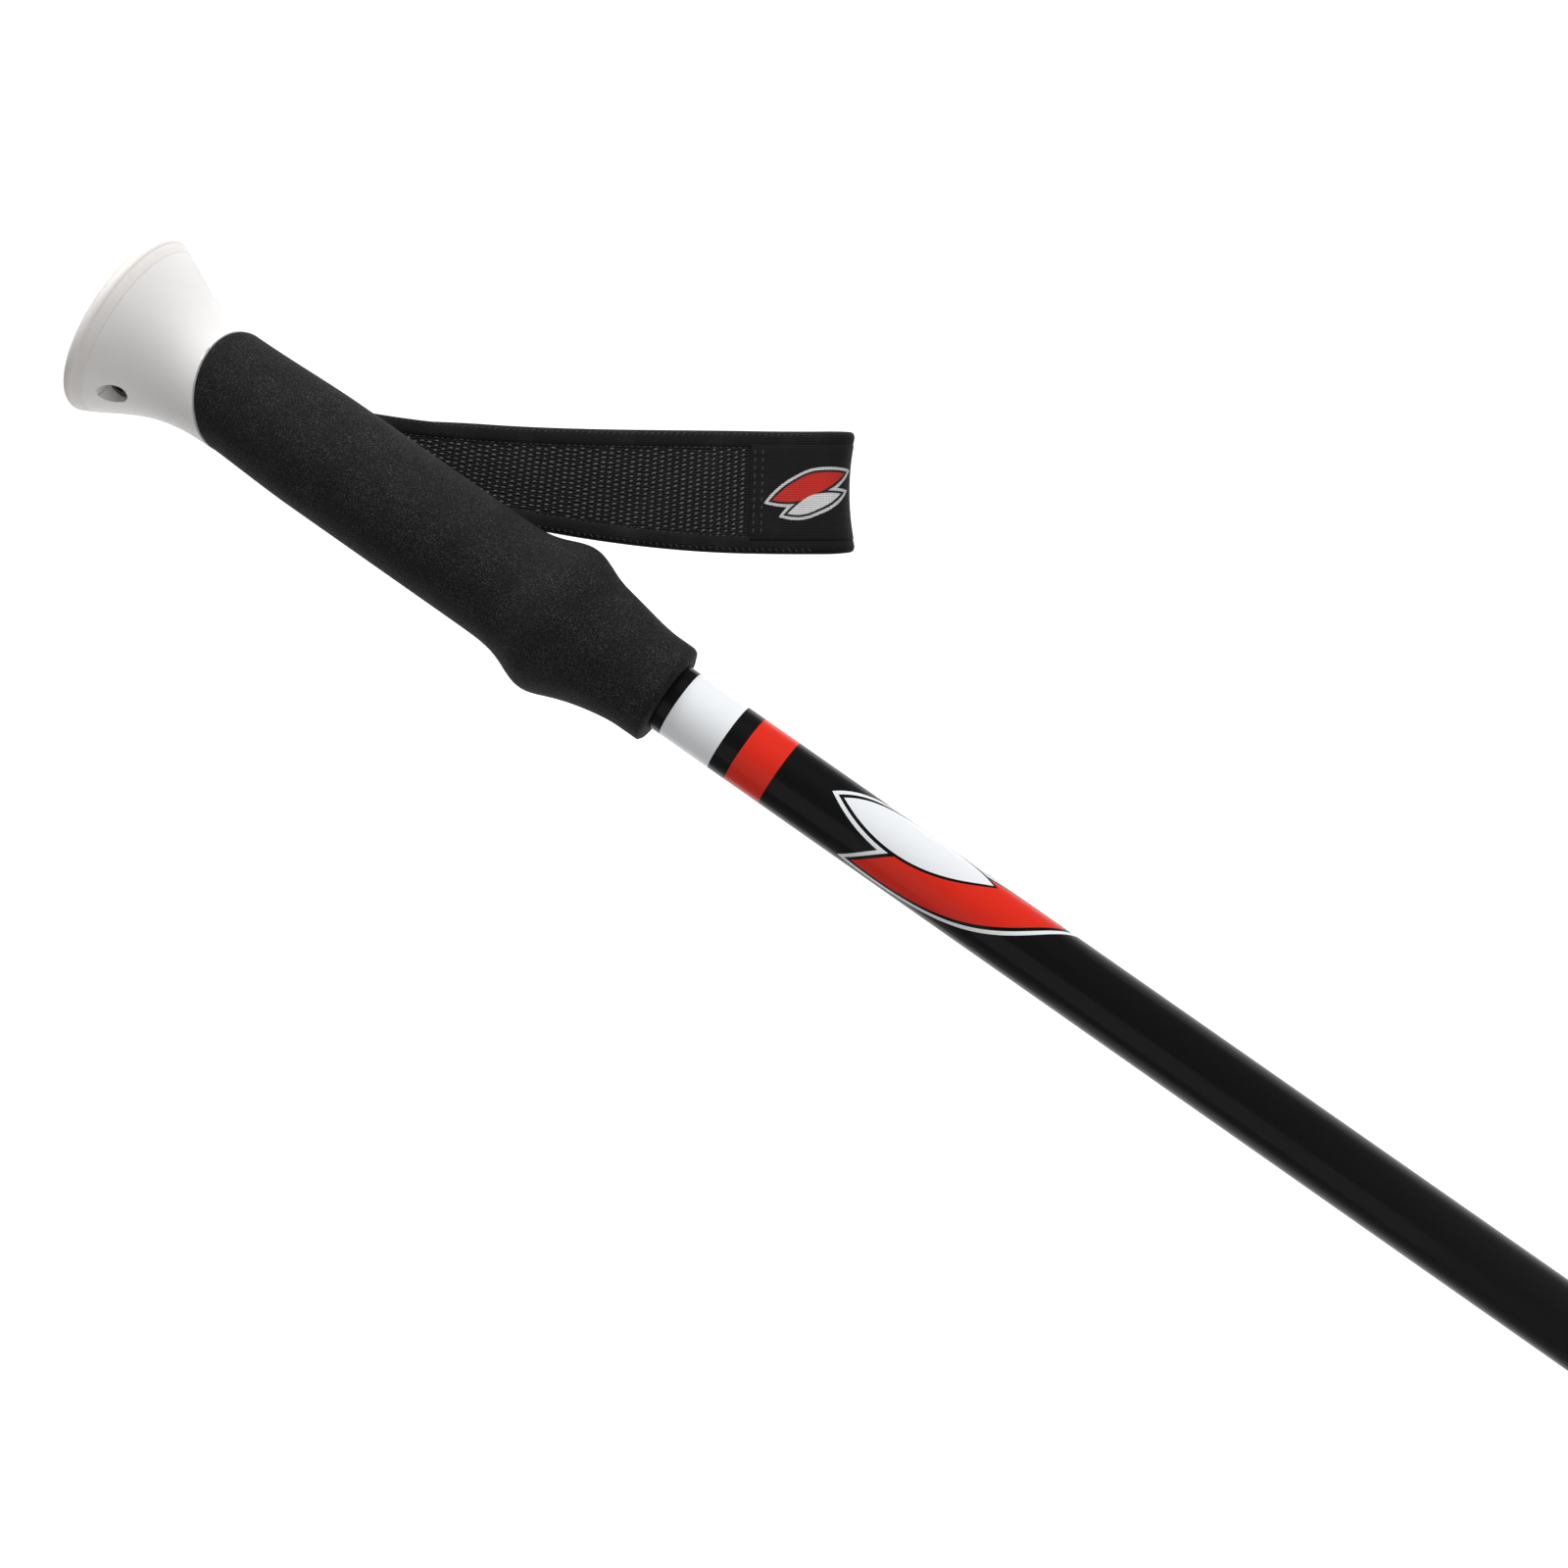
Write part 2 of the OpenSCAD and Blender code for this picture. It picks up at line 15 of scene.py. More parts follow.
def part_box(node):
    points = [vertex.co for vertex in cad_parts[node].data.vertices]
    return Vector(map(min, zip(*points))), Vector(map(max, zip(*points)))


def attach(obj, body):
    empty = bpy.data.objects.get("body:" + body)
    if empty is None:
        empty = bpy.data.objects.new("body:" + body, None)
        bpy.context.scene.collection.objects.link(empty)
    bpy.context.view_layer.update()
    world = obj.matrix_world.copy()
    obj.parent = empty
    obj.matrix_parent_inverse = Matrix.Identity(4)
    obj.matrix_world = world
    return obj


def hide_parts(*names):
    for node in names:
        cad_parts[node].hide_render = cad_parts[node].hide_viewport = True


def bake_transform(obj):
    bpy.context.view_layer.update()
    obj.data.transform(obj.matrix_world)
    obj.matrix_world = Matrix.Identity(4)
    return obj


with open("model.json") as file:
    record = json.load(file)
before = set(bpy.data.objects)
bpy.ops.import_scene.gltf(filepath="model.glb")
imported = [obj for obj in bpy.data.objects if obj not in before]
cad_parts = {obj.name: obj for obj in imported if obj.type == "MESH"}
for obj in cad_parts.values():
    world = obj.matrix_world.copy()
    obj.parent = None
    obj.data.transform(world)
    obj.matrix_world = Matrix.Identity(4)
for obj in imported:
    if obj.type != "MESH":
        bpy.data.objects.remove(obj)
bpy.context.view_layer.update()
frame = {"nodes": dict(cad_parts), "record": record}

MM = 0.001
record = frame["record"]
slot_of = {part["node"]: part["material_slot"] for part in record["subparts"]}
body_of = {node: body for body, nodes in record["behaviour"]["bodies"].items() for node in nodes}

# %% [markdown]
# ## Camera
# A product picture is usually taken with a long lens, so that a round part keeps its shape. The camera looks a little
# up along the shaft, and it is rolled so that the shaft runs down to the right of the frame. The view matrix is
# built from three axes, because two rotations at once are hard to get right with angles.

# %% Camera
CAMERA_LENS = 63.0
CAMERA_DISTANCE = 0.673
CAMERA_TILT = math.radians(4.6)
CAMERA_ROLL = math.radians(35.0)
AIM_BELOW_FOAM = 0.0356
AIM_LEFT = 0.0015

FOAM_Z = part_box("foam_grip")[0][2]
aim = Vector((-AIM_LEFT, 0, FOAM_Z - AIM_BELOW_FOAM))
look = Vector((0, math.cos(CAMERA_TILT), math.sin(CAMERA_TILT)))
upright = Vector((0, -math.sin(CAMERA_TILT), math.cos(CAMERA_TILT)))
sideways = Vector((1, 0, 0))
camera_right = math.sin(CAMERA_ROLL) * sideways - math.cos(CAMERA_ROLL) * upright
camera_up = math.cos(CAMERA_ROLL) * sideways + math.sin(CAMERA_ROLL) * upright
camera = bpy.data.objects.new("camera", bpy.data.cameras.new("camera"))
bpy.context.scene.collection.objects.link(camera)
camera.data.lens = CAMERA_LENS
camera.matrix_world = (Matrix.Translation(aim - CAMERA_DISTANCE * look)
                       @ Matrix((camera_right, camera_up, -look)).transposed().to_4x4())
bpy.context.scene.camera = camera
bpy.context.scene.view_settings.view_transform = "Standard"
print("camera at", tuple(round(v, 3) for v in camera.location))

# %% [markdown]
# ## Shader maths as Python sums
# A pattern such as a printed band is a sum over the surface: where is this point, and is it inside the band? Each
# step is one Math node. Written node by node that is long to read, so a small class wraps an output socket and turns
# +, -, *, / into Math nodes. The same class serves Geometry Nodes, whose trees use the same Math node.

# %% Sockets that can be added and multiplied
class Socket:
    """An output socket of a node tree that can be used in sums."""

    def __init__(self, tree, socket):
        self.tree, self.socket = tree, socket

    def maths(self, operation, *others):
        node = self.tree.nodes.new("ShaderNodeMath")
        node.operation = operation
        for target, value in zip(node.inputs, (self, *others)):
            connect(self.tree, value, target)
        return Socket(self.tree, node.outputs[0])

    def __add__(self, other):
        return self.maths("ADD", other)

    __radd__ = __add__

    def __mul__(self, other):
        return self.maths("MULTIPLY", other)

    __rmul__ = __mul__

    def __sub__(self, other):
        return self.maths("SUBTRACT", other)

    def __rsub__(self, other):
        return self.maths("MULTIPLY_ADD", -1, other)

    def __truediv__(self, other):
        return self.maths("DIVIDE", other)

    def __pow__(self, other):
        return self.maths("POWER", other)

    def above(self, other):
        return self.maths("GREATER_THAN", other)

    def below(self, other):
        return self.maths("LESS_THAN", other)

    def between(self, low, high):
        return self.above(low) * self.below(high)

    def step(self, low, high):
        """0 below low, 1 above high, smooth between."""
        node = add_node(self.tree, "ShaderNodeMapRange", {"interpolation_type": "SMOOTHSTEP"},
                        {0: self, 1: low, 2: high})
        return Socket(self.tree, node.outputs[0])


def connect(tree, value, target):
    """Links a socket to an input, or sets the input's own value."""
    if isinstance(value, Socket):
        tree.links.new(value.socket, target)
    else:
        target.default_value = value


def add_node(tree, kind, settings=None, links=None):
    """Adds a node, sets its settings first and then its inputs."""
    node = tree.nodes.new(kind)
    for name, value in (settings or {}).items():
        setattr(node, name, value)
    for name, value in (links or {}).items():
        connect(tree, value, node.inputs[name])
    return node


# %% A material with its own coordinates
class Finish:
    """A material on Object coordinates in millimetres, with helpers for what most finishes need."""

    def __init__(self, name, **fixed):
        self.material = bpy.data.materials.new(name)
        self.material.use_nodes = True
        self.tree = self.material.node_tree
        self.shader = self.tree.nodes["Principled BSDF"]
        self.set(**fixed)
        where = add_node(self.tree, "ShaderNodeTexCoord")
        scaled = add_node(self.tree, "ShaderNodeVectorMath", {"operation": "SCALE"},
                          {0: Socket(self.tree, where.outputs["Object"]), "Scale": 1 / MM})
        self.place = Socket(self.tree, scaled.outputs[0])
        self.map = Socket(self.tree, where.outputs["UV"])

    def set(self, **values):
        """Sets or links inputs of the shader, such as base_color or roughness."""
        for name, value in values.items():
            target = self.shader.inputs[name.replace("_", " ").title().replace("Ior", "IOR")]
            if isinstance(value, tuple) and len(value) == 3 and target.type == "RGBA":
                value = (*value, 1)
            connect(self.tree, value, target)
        return self

    def apart(self, vector):
        """The three numbers of a vector."""
        node = add_node(self.tree, "ShaderNodeSeparateXYZ", None, {0: vector})
        return [Socket(self.tree, output) for output in node.outputs]

    def together(self, x, y, z):
        node = add_node(self.tree, "ShaderNodeCombineXYZ", None, {0: x, 1: y, 2: z})
        return Socket(self.tree, node.outputs[0])

    def noise(self, scale, detail=2.0, rough=0.5, at=None):
        """Smooth noise from 0 to 1; scale is in cycles per millimetre."""
        node = add_node(self.tree, "ShaderNodeTexNoise", None,
                        {"Vector": at or self.place, "Scale": scale, "Detail": detail, "Roughness": rough})
        return Socket(self.tree, node.outputs["Fac"])

    def cells(self, scale, at=None):
        """Distance to the nearest of many scattered points."""
        node = add_node(self.tree, "ShaderNodeTexVoronoi", None, {"Vector": at or self.place, "Scale": scale})
        return Socket(self.tree, node.outputs["Distance"])

    def colour(self, mask, first, second):
        """first where mask is 0 and second where it is 1."""
        node = add_node(self.tree, "ShaderNodeMix", {"data_type": "RGBA"}, {"Factor": mask})
        for target, value in ((node.inputs[6], first), (node.inputs[7], second)):
            connect(self.tree, (*value, 1) if isinstance(value, tuple) else value, target)
        return Socket(self.tree, node.outputs[2])

    def bump(self, height, depth, strength=1.0):
        """Raises the surface by height times depth, in millimetres."""
        node = add_node(self.tree, "ShaderNodeBump", None,
                        {"Strength": strength, "Distance": depth * MM, "Height": height})
        self.tree.links.new(node.outputs[0], self.shader.inputs["Normal"])
        return self


finishes = {}

# %% [markdown]
# ## Floor and light
# A cut-out picture has a pure white ground, but the object itself must not drown in white light, or black foam turns
# grey. So only the floor and the wall behind the object glow, and what it mirrors towards the camera is dim. One
# large lamp above the grip's side models the cap, and a weak one from below keeps the shaded side open.

# %% Floor, wall and light
STAGE_HALF = 8.0
FLOOR_DROP = 0.0005
WALL_AT = 6.0
GLOW_FROM = (150.0, 900.0)


def stage_sheet(name, corners):
    """A flat white sheet that glows where the camera sees it and stays dim in front of the object."""
    sheet = bpy.data.meshes.new(name)
    sheet.from_pydata(corners, [], [(0, 1, 2, 3)])
    holder = bpy.data.objects.new(name, sheet)
    bpy.context.scene.collection.objects.link(holder)
    paint = Finish(name + "_white", roughness=0.9, base_color=(0.5, 0.5, 0.5), emission_strength=1.0)
    y = paint.apart(paint.place)[1]
    paint.set(emission_color=paint.colour(y.step(*GLOW_FROM), (0.12, 0.12, 0.12), (1.0, 1.0, 1.0)))
    sheet.materials.append(paint.material)


def hang_lamp(name, place, size, power):
    """A square lamp in metres that faces the middle of the grip."""
    lamp = bpy.data.lights.new(name, "AREA")
    lamp.size, lamp.energy = size, power
    holder = bpy.data.objects.new(name, lamp)
    bpy.context.scene.collection.objects.link(holder)
    holder.location = place
    holder.rotation_euler = (aim - Vector(place)).to_track_quat("-Z", "Y").to_euler()


stage_sheet("floor", [(-STAGE_HALF, -STAGE_HALF, -FLOOR_DROP), (STAGE_HALF, -STAGE_HALF, -FLOOR_DROP),
                      (STAGE_HALF, WALL_AT, -FLOOR_DROP), (-STAGE_HALF, WALL_AT, -FLOOR_DROP)])
stage_sheet("wall", [(-STAGE_HALF, WALL_AT, -FLOOR_DROP), (STAGE_HALF, WALL_AT, -FLOOR_DROP),
                     (STAGE_HALF, WALL_AT, STAGE_HALF), (-STAGE_HALF, WALL_AT, STAGE_HALF)])
hang_lamp("key_lamp", (0.9, -0.6, 1.3), 0.9, 20)
hang_lamp("fill_lamp", (-0.9, -0.9, 0.5), 1.2, 2.5)
surround = bpy.data.worlds.new("surround")
surround.use_nodes = True
surround.node_tree.nodes["Background"].inputs["Color"].default_value = (1, 1, 1, 1)
surround.node_tree.nodes["Background"].inputs["Strength"].default_value = 0.24
bpy.context.scene.world = surround

# %% [markdown]
# ## Finishes
# Every finish starts from what the real surface is: moulded plastic has a fine matt grain and small scuffs, foam has
# open cells whose glints are painted into its colour as light specks, and paint under lacquer is smooth with a deep
# reflection. The varying values go only into colour, roughness and bump, so that the finishes can be baked.

# %% Cap, pad and foam
def make_cap_finish(name, colour, shade, roughness):
    """Satin moulded plastic or soft rubber with a faint tint, fine grain and light scuffs."""
    paint = Finish(name, specular_ior_level=0.4)
    tint = paint.noise(0.05, 3.0)
    scuff_place = paint.together(*[part * stretch for part, stretch in
                                   zip(paint.apart(paint.place), (0.12, 0.12, 1.1))])
    scuff = paint.noise(1.0, 4.0, 0.6, scuff_place).step(0.66, 0.74) * paint.noise(0.09).step(0.5, 0.62)
    colour_now = paint.colour(tint.step(0.35, 0.7), shade, colour)
    paint.set(base_color=paint.colour(scuff * 0.35, colour_now, (0.5, 0.49, 0.48)))
    paint.set(roughness=roughness + 0.1 * paint.noise(0.3) + 0.15 * scuff)
    paint.bump(paint.noise(3.2, 3.0) + 0.4 * paint.noise(0.4), 0.02)
    finishes[name] = paint.material


make_cap_finish("cap", (0.83, 0.81, 0.80), (0.78, 0.76, 0.75), 0.38)
make_cap_finish("pad", (0.80, 0.77, 0.75), (0.76, 0.73, 0.70), 0.45)


def make_foam_finish():
    """Closed-cell foam: black and matt, with the glints of its cut cells painted into the colour as light specks."""
    paint = Finish("foam", specular_ior_level=0.13, sheen_weight=0.01, sheen_roughness=0.5)
    cell = paint.cells(2.6)
    grain = paint.noise(5.0, 2.0, 0.7)
    # Painted highlight: light specks in the colour stand in for the glints of cut cells.
    painted_glint_speck = paint.noise(3.0, 2.0, 0.6).step(0.46, 0.76) * (0.5 + 0.5 * paint.noise(0.15, 2.0).step(0.3, 0.7))
    worn = paint.noise(0.035, 3.0)
    base = paint.colour(worn.step(0.3, 0.75), (0.006, 0.006, 0.0062), (0.0085, 0.0085, 0.0088))
    paint.set(base_color=paint.colour(painted_glint_speck, base, (0.07, 0.07, 0.072)))
    paint.set(roughness=0.62 + 0.25 * grain)
    paint.bump(grain * 0.7 + cell * 0.9, 0.16, 0.9)
    finishes["foam"] = paint.material


make_foam_finish()

# %% [markdown]
# ## The printed shaft
# The shaft is black under clear lacquer, with a white ring, a red ring and a printed emblem that wraps round the
# front. A ring is a test on height. The emblem is two leaves, each the overlap of two circles drawn on the unrolled
# surface, where x is the angle times the radius. The distance to a leaf's edge gives a thin black line and a white
# outline round it for nothing.

# %% Shaft
SHAFT_R = 9.0
WHITE_RING = (3.4, 17.9)
RED_RING = (22.9, 33.2)
INK_BLACK = (0.0035, 0.0035, 0.0035)
INK_WHITE = (0.80, 0.82, 0.84)
INK_RED = (0.70, 0.025, 0.012)


def unrolled(paint):
    """Distance round the shaft from its -Y side, and distance below the foam, in millimetres."""
    x, y, z = paint.apart(paint.place)
    turn = x.maths("ARCTAN2", y * -1)
    return turn * SHAFT_R, FOAM_Z / MM - z


def lens(u, v, centre, angle, length, width):
    """Distance outside a leaf: the overlap of two circles, below 0 inside. The leaf points along angle."""
    c, s = math.cos(math.radians(angle)), math.sin(math.radians(angle))
    du, dv = u - centre[0], v - centre[1]
    along, across = du * c + dv * s, dv * c - du * s
    radius = (length ** 2 + width ** 2) / (4 * width)
    shift = radius - width / 2
    far_side = along * along
    first = (far_side + (across + shift) * (across + shift)).maths("SQRT") - radius
    second = (far_side + (across - shift) * (across - shift)).maths("SQRT") - radius
    return first.maths("MAXIMUM", second)


def make_shaft_finish():
    paint = Finish("shaft_paint", coat_roughness=0.07, coat_ior=1.45, specular_ior_level=0.10)
    round_way, down = unrolled(paint)
    fuzz = (paint.noise(6.0) - 0.5) * 0.08
    down = down + fuzz
    white_leaf = lens(round_way, down, (6.5, 71.0), 84.0, 42.0, 12.5)
    red_leaf = lens(round_way, down, (1.5, 86.0), 69.0, 56.0, 14.0)
    both = white_leaf.maths("MINIMUM", red_leaf)
    colour = paint.colour(both.below(1.9), INK_BLACK, INK_WHITE)
    colour = paint.colour(both.below(0.9), colour, INK_BLACK)
    colour = paint.colour(red_leaf.below(0.7), colour, INK_BLACK)
    colour = paint.colour(red_leaf.below(0), colour, INK_RED)
    colour = paint.colour(white_leaf.below(0.7), colour, INK_BLACK)
    colour = paint.colour(white_leaf.below(0), colour, INK_WHITE)
    colour = paint.colour(down.between(*WHITE_RING), colour, INK_WHITE)
    colour = paint.colour(down.between(*RED_RING), colour, INK_RED)
    dust = paint.noise(0.9, 5.0, 0.7)
    scratch = paint.noise(1.0, 3.0, 0.6, paint.together(round_way * 3.0, down * 0.06, 0.0)).step(0.68, 0.78)
    paint.set(base_color=colour, roughness=0.26 + 0.1 * dust + 0.18 * scratch, coat_weight=0.15 - 0.08 * scratch)
    paint.bump(dust * 0.3 + paint.noise(0.25) * 0.7, 0.012)
    finishes["shaft_paint"] = paint.material


make_shaft_finish()

# %% [markdown]
# ## Plain tubes, mouldings and metal
# The two thinner tubes are anodised, with ticks for setting the length. Ticks are a repeating ramp down the tube, cut
# off to one side. Turned steel shows fine rings, and blackened steel is the same with less light.

# %% Tubes, locks, metal and basket
def make_tube_finish():
    paint = Finish("tube_metal", specular_ior_level=0.5)
    x, y, z = paint.apart(paint.place)
    turn = x.maths("ARCTAN2", y * -1)
    brushed = paint.noise(1.0, 3.0, 0.6, paint.together(turn * 40.0, z * 0.05, 0.0))
    tick = (z / 10.0).maths("FRACT").between(0.46, 0.54) * turn.between(-0.35, 0.35)
    mid = (z / 50.0).maths("FRACT").between(0.492, 0.508) * turn.between(-0.8, 0.8)
    mark = tick.maths("MAXIMUM", mid)
    base = paint.colour(brushed, (0.055, 0.056, 0.06), (0.085, 0.086, 0.09))
    paint.set(base_color=paint.colour(mark, base, (0.62, 0.63, 0.64)), metallic=0.85 - 0.85 * mark)
    paint.set(roughness=0.28 + 0.16 * brushed)
    paint.bump(brushed, 0.006)
    finishes["tube_metal"] = paint.material


def make_moulding_finish(name, colour, worn_colour, roughness, grain):
    """Moulded plastic: fine spark-eroded grain, wear in patches."""
    paint = Finish(name, specular_ior_level=0.45)
    worn = paint.noise(0.09, 4.0, 0.6).step(0.55, 0.8)
    paint.set(base_color=paint.colour(worn * 0.6, colour, worn_colour))
    paint.set(roughness=roughness + 0.12 * paint.noise(0.5, 3.0) - 0.06 * worn)
    paint.bump(paint.noise(grain, 2.0, 0.6) + 0.25 * paint.noise(0.35), 0.045)
    finishes[name] = paint.material


def make_metal_finish(name, dark, bright, roughness):
    """Turned or drawn metal: fine rings along the part and a little staining."""
    paint = Finish(name, metallic=1.0)
    x, y, z = paint.apart(paint.place)
    rings = paint.noise(1.0, 2.0, 0.5, paint.together(x * 0.3, y * 0.3, z * 7.0))
    stain = paint.noise(0.3, 4.0, 0.6)
    paint.set(base_color=paint.colour(stain, dark, bright), roughness=roughness + 0.15 * rings)
    paint.bump(rings, 0.008)
    finishes[name] = paint.material


make_tube_finish()
make_moulding_finish("lock_plastic", (0.018, 0.018, 0.019), (0.035, 0.035, 0.036), 0.42, 3.5)
make_moulding_finish("lever_red", (0.50, 0.022, 0.012), (0.42, 0.03, 0.02), 0.30, 4.5)
make_moulding_finish("basket_plastic", (0.016, 0.016, 0.017), (0.05, 0.05, 0.052), 0.46, 2.6)
make_metal_finish("steel", (0.50, 0.50, 0.51), (0.66, 0.66, 0.67), 0.24)
make_metal_finish("dark_steel", (0.07, 0.07, 0.075), (0.14, 0.14, 0.145), 0.32)
make_metal_finish("carbide", (0.30, 0.30, 0.32), (0.48, 0.48, 0.50), 0.34)

# %% [markdown]
# ## Turned and moulded pieces
# Most of a pole is round: tubes, guides, pins and the tip are drawn, turned or moulded about an axis. Such a piece is
# its half profile spun round, with every corner of the profile rounded a little, because an edge with no rounding
# catches no light and looks like a drawing.

# %% Helpers that make pieces
def rounded(profile, radius, closed, steps=4):
    """The profile with each corner replaced by a small curve of about that radius."""
    points = [Vector(p) for p in profile]
    count = len(points)
    out = []
    for i, corner in enumerate(points):
        if not closed and i in (0, count - 1):
            out.append(corner)
            continue
        before, after = points[i - 1] - corner, points[(i + 1) % count] - corner
        cut = min(radius, 0.4 * before.length, 0.4 * after.length)
        first, last = corner + before.normalized() * cut, corner + after.normalized() * cut
        for k in range(steps + 1):
            t = k / steps
            out.append((1 - t) ** 2 * first + 2 * t * (1 - t) * corner + t * t * last)
    return out


def finish_piece(name, mesh, node, finish=None, smooth_angle=35):
    """Turns a mesh in metres into a piece that stands for one node of the design."""
    edit = bmesh.new()
    edit.from_mesh(mesh)
    bmesh.ops.remove_doubles(edit, verts=edit.verts, dist=1e-6)
    bmesh.ops.recalc_face_normals(edit, faces=edit.faces)
    edit.to_mesh(mesh)
    edit.free()
    mesh.shade_smooth()
    mesh.set_sharp_from_angle(angle=math.radians(smooth_angle))
    piece = bpy.data.objects.new(name, mesh)
    bpy.context.scene.collection.objects.link(piece)
    mesh.materials.clear()
    mesh.materials.append(finishes[finish or slot_of[node]])
    return piece


def settle(piece, *nodes):
    """The piece moves with its nodes' body and is shown instead of them."""
    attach(piece, body_of[nodes[0]])
    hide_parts(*nodes)
    return piece


def spun(profile, closed, segments=128):
    """A mesh in metres made by spinning (radius, height) points in millimetres round +Z."""
    edit = bmesh.new()
    rings = []
    for r, h in profile:
        if r < 1e-4:
            rings.append([edit.verts.new((0, 0, h * MM))])
        else:
            rings.append([edit.verts.new((r * math.cos(a) * MM, r * math.sin(a) * MM, h * MM))
                          for a in (2 * math.pi * k / segments for k in range(segments))])
    pairs = list(zip(rings, rings[1:])) + ([(rings[-1], rings[0])] if closed else [])
    for low, high in pairs:
        for k in range(segments):
            j = (k + 1) % segments
            corners = [low[k % len(low)], low[j % len(low)], high[j % len(high)], high[k % len(high)]]
            corners = [v for i, v in enumerate(corners) if v not in corners[:i]]
            if len(corners) > 2:
                edit.faces.new(corners)
    mesh = bpy.data.meshes.new("spun")
    edit.to_mesh(mesh)
    edit.free()
    return mesh


def turned(node, profile, radius, closed=True, place=None, segments=128):
    """A turned piece for a node. place moves it from the Z axis to where it is."""
    mesh = spun(rounded(profile, radius, closed), closed, segments)
    mesh.transform(place or Matrix.Identity(4))
    piece = finish_piece("turned_" + node, mesh, node)
    level = piece.modifiers.new("even_shading", "WEIGHTED_NORMAL")
    level.keep_sharp = True
    return settle(piece, node)


def softened(node, width, segments=2, angle=28):
    """A moulded piece: the design's own shape with its edges broken."""
    mesh = frame["nodes"][node].data.copy()
    edit = bmesh.new()
    edit.from_mesh(mesh)
    bmesh.ops.remove_doubles(edit, verts=edit.verts, dist=2e-6)
    bmesh.ops.dissolve_limit(edit, angle_limit=math.radians(0.8), verts=edit.verts, edges=edit.edges)
    edit.to_mesh(mesh)
    edit.free()
    piece = finish_piece("moulded_" + node, mesh, node, smooth_angle=angle)
    bevel = piece.modifiers.new("edges", "BEVEL")
    bevel.width, bevel.segments = width * MM, segments
    bevel.limit_method, bevel.angle_limit = "ANGLE", math.radians(angle)
    bevel.use_clamp_overlap, bevel.harden_normals = True, False
    level = piece.modifiers.new("even_shading", "WEIGHTED_NORMAL")
    level.keep_sharp = False
    return settle(piece, node)


def spans(node):
    """Lowest and highest corner of a node in millimetres."""
    return tuple(Vector(v / MM for v in corner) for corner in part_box(node))


# %% Tubes, guides and the locks' pins
def make_tube(node, radius, wall=0.8):
    low, high = (corner.z for corner in spans(node))
    return turned(node, [(radius, low), (radius, high), (radius - wall, high), (radius - wall, low)], 0.25)


def make_bush(node, tube_radius):
    """A guide: a ring that slides in the next tube, and a thinner spigot that is pressed into its own."""
    low, high = (corner.z for corner in spans(node))
    ring, spigot, bore = tube_radius + 0.15, tube_radius - 0.85, tube_radius - 2.2
    seat = low + 15
    return turned(node, [(bore, low), (spigot, low), (spigot, seat), (ring, seat), (ring, high), (bore, high)], 0.5)


for node, radius in (("upper_tube", 9), ("middle_tube", 8), ("lower_tube", 7)):
    make_tube(node, radius)
make_bush("middle_bush", 8)
make_bush("lower_bush", 7)

for node in ("upper_lever_pin", "lower_lever_pin"):
    low, high = spans(node)
    middle = (low + high) / 2
    turned(node, [(0, low.z), (2, low.z), (2, high.z), (0, high.z)], 0.4, closed=False, segments=48,
           place=Matrix.Translation((middle.x * MM, middle.y * MM, 0)))

for node in ("upper_wear_plate", "lower_wear_plate"):
    low, high = spans(node)
    middle = (low + high) / 2
    turned(node, [(1.55, 0), (5.4, 0), (5.4, high.x - low.x), (1.55, high.x - low.x)], 0.2, segments=96,
           place=Matrix.Translation((low.x * MM, middle.y * MM, middle.z * MM))
           @ Matrix.Rotation(math.pi / 2, 4, "Y"))

# %% Locks
for lock in ("upper", "lower"):
    softened(lock + "_collar", 0.5)
    softened(lock + "_lever", 0.7, 3)
    softened(lock + "_tension_screw", 0.15)
    softened(lock + "_thumb_nut", 0.35)
print("locks and tubes made")

# %% [markdown]
# ## Tip and basket
# A carbide insert is brazed into a plastic ferrule. The basket is a moulded disc with windows, on a hub that screws
# onto the ferrule.

# %% Tip, ferrule, hub and disc
turned("carbide_tip", [(0, 1.7), (0.3, 1.5), (2.4, 0.05), (2.6, 0.05), (2.6, 8.5), (2.3, 8.5), (2.3, 22), (0, 22)],
       0.15, closed=False, segments=64)
turned("tip_ferrule", [(2.35, 9), (3.4, 9), (4, 10), (7.2, 29), (8.3, 38), (8.6, 42), (8.6, 58), (11, 58), (11, 60.4),
                       (9.4, 62), (9, 78), (8.2, 80), (7.05, 80), (7.05, 38), (2.35, 38)], 0.6)
turned("basket_hub", [(8.65, 44), (15.5, 44), (15.5, 46), (12.5, 46), (12.5, 58), (8.65, 58)], 0.4)
softened("basket_disc", 0.45)

# %% [markdown]
# ## Cap, pad and the cross screw
# The cap is moulded in one shot with a slanted foot that meets the foam. The soft pad on top is a second moulding
# that carries on the cap's flare to a rounded lip, so that the joint is a hairline. The screw and its barrel nut cross
# the cap and hold the strap.

# %% Cap, pad, screw and nut
GRIP_TURN = math.radians(31)
CAP_LEAN = math.radians(2.3)
LEAN_Z = FOAM_Z / MM + 127
RIM_Z = FOAM_Z / MM + 166
PAD_EDGE = 3.6
RIM_R = 24.7

softened("grip_cap", 0.45, 3, 24)
lean = (Matrix.Translation((0, 0, LEAN_Z * MM)) @ Matrix.Rotation(-CAP_LEAN, 4, "Y")
        @ Matrix.Translation((0, 0, -LEAN_Z * MM)))


def flare(z):
    """Radius of the cap's flare at a height on the cap's own axis."""
    t = (z - RIM_Z + 30) / 30
    return 14.7 + (RIM_R - 14.7) * (t * t + 1.05 * t ** 4 * (1 - t))


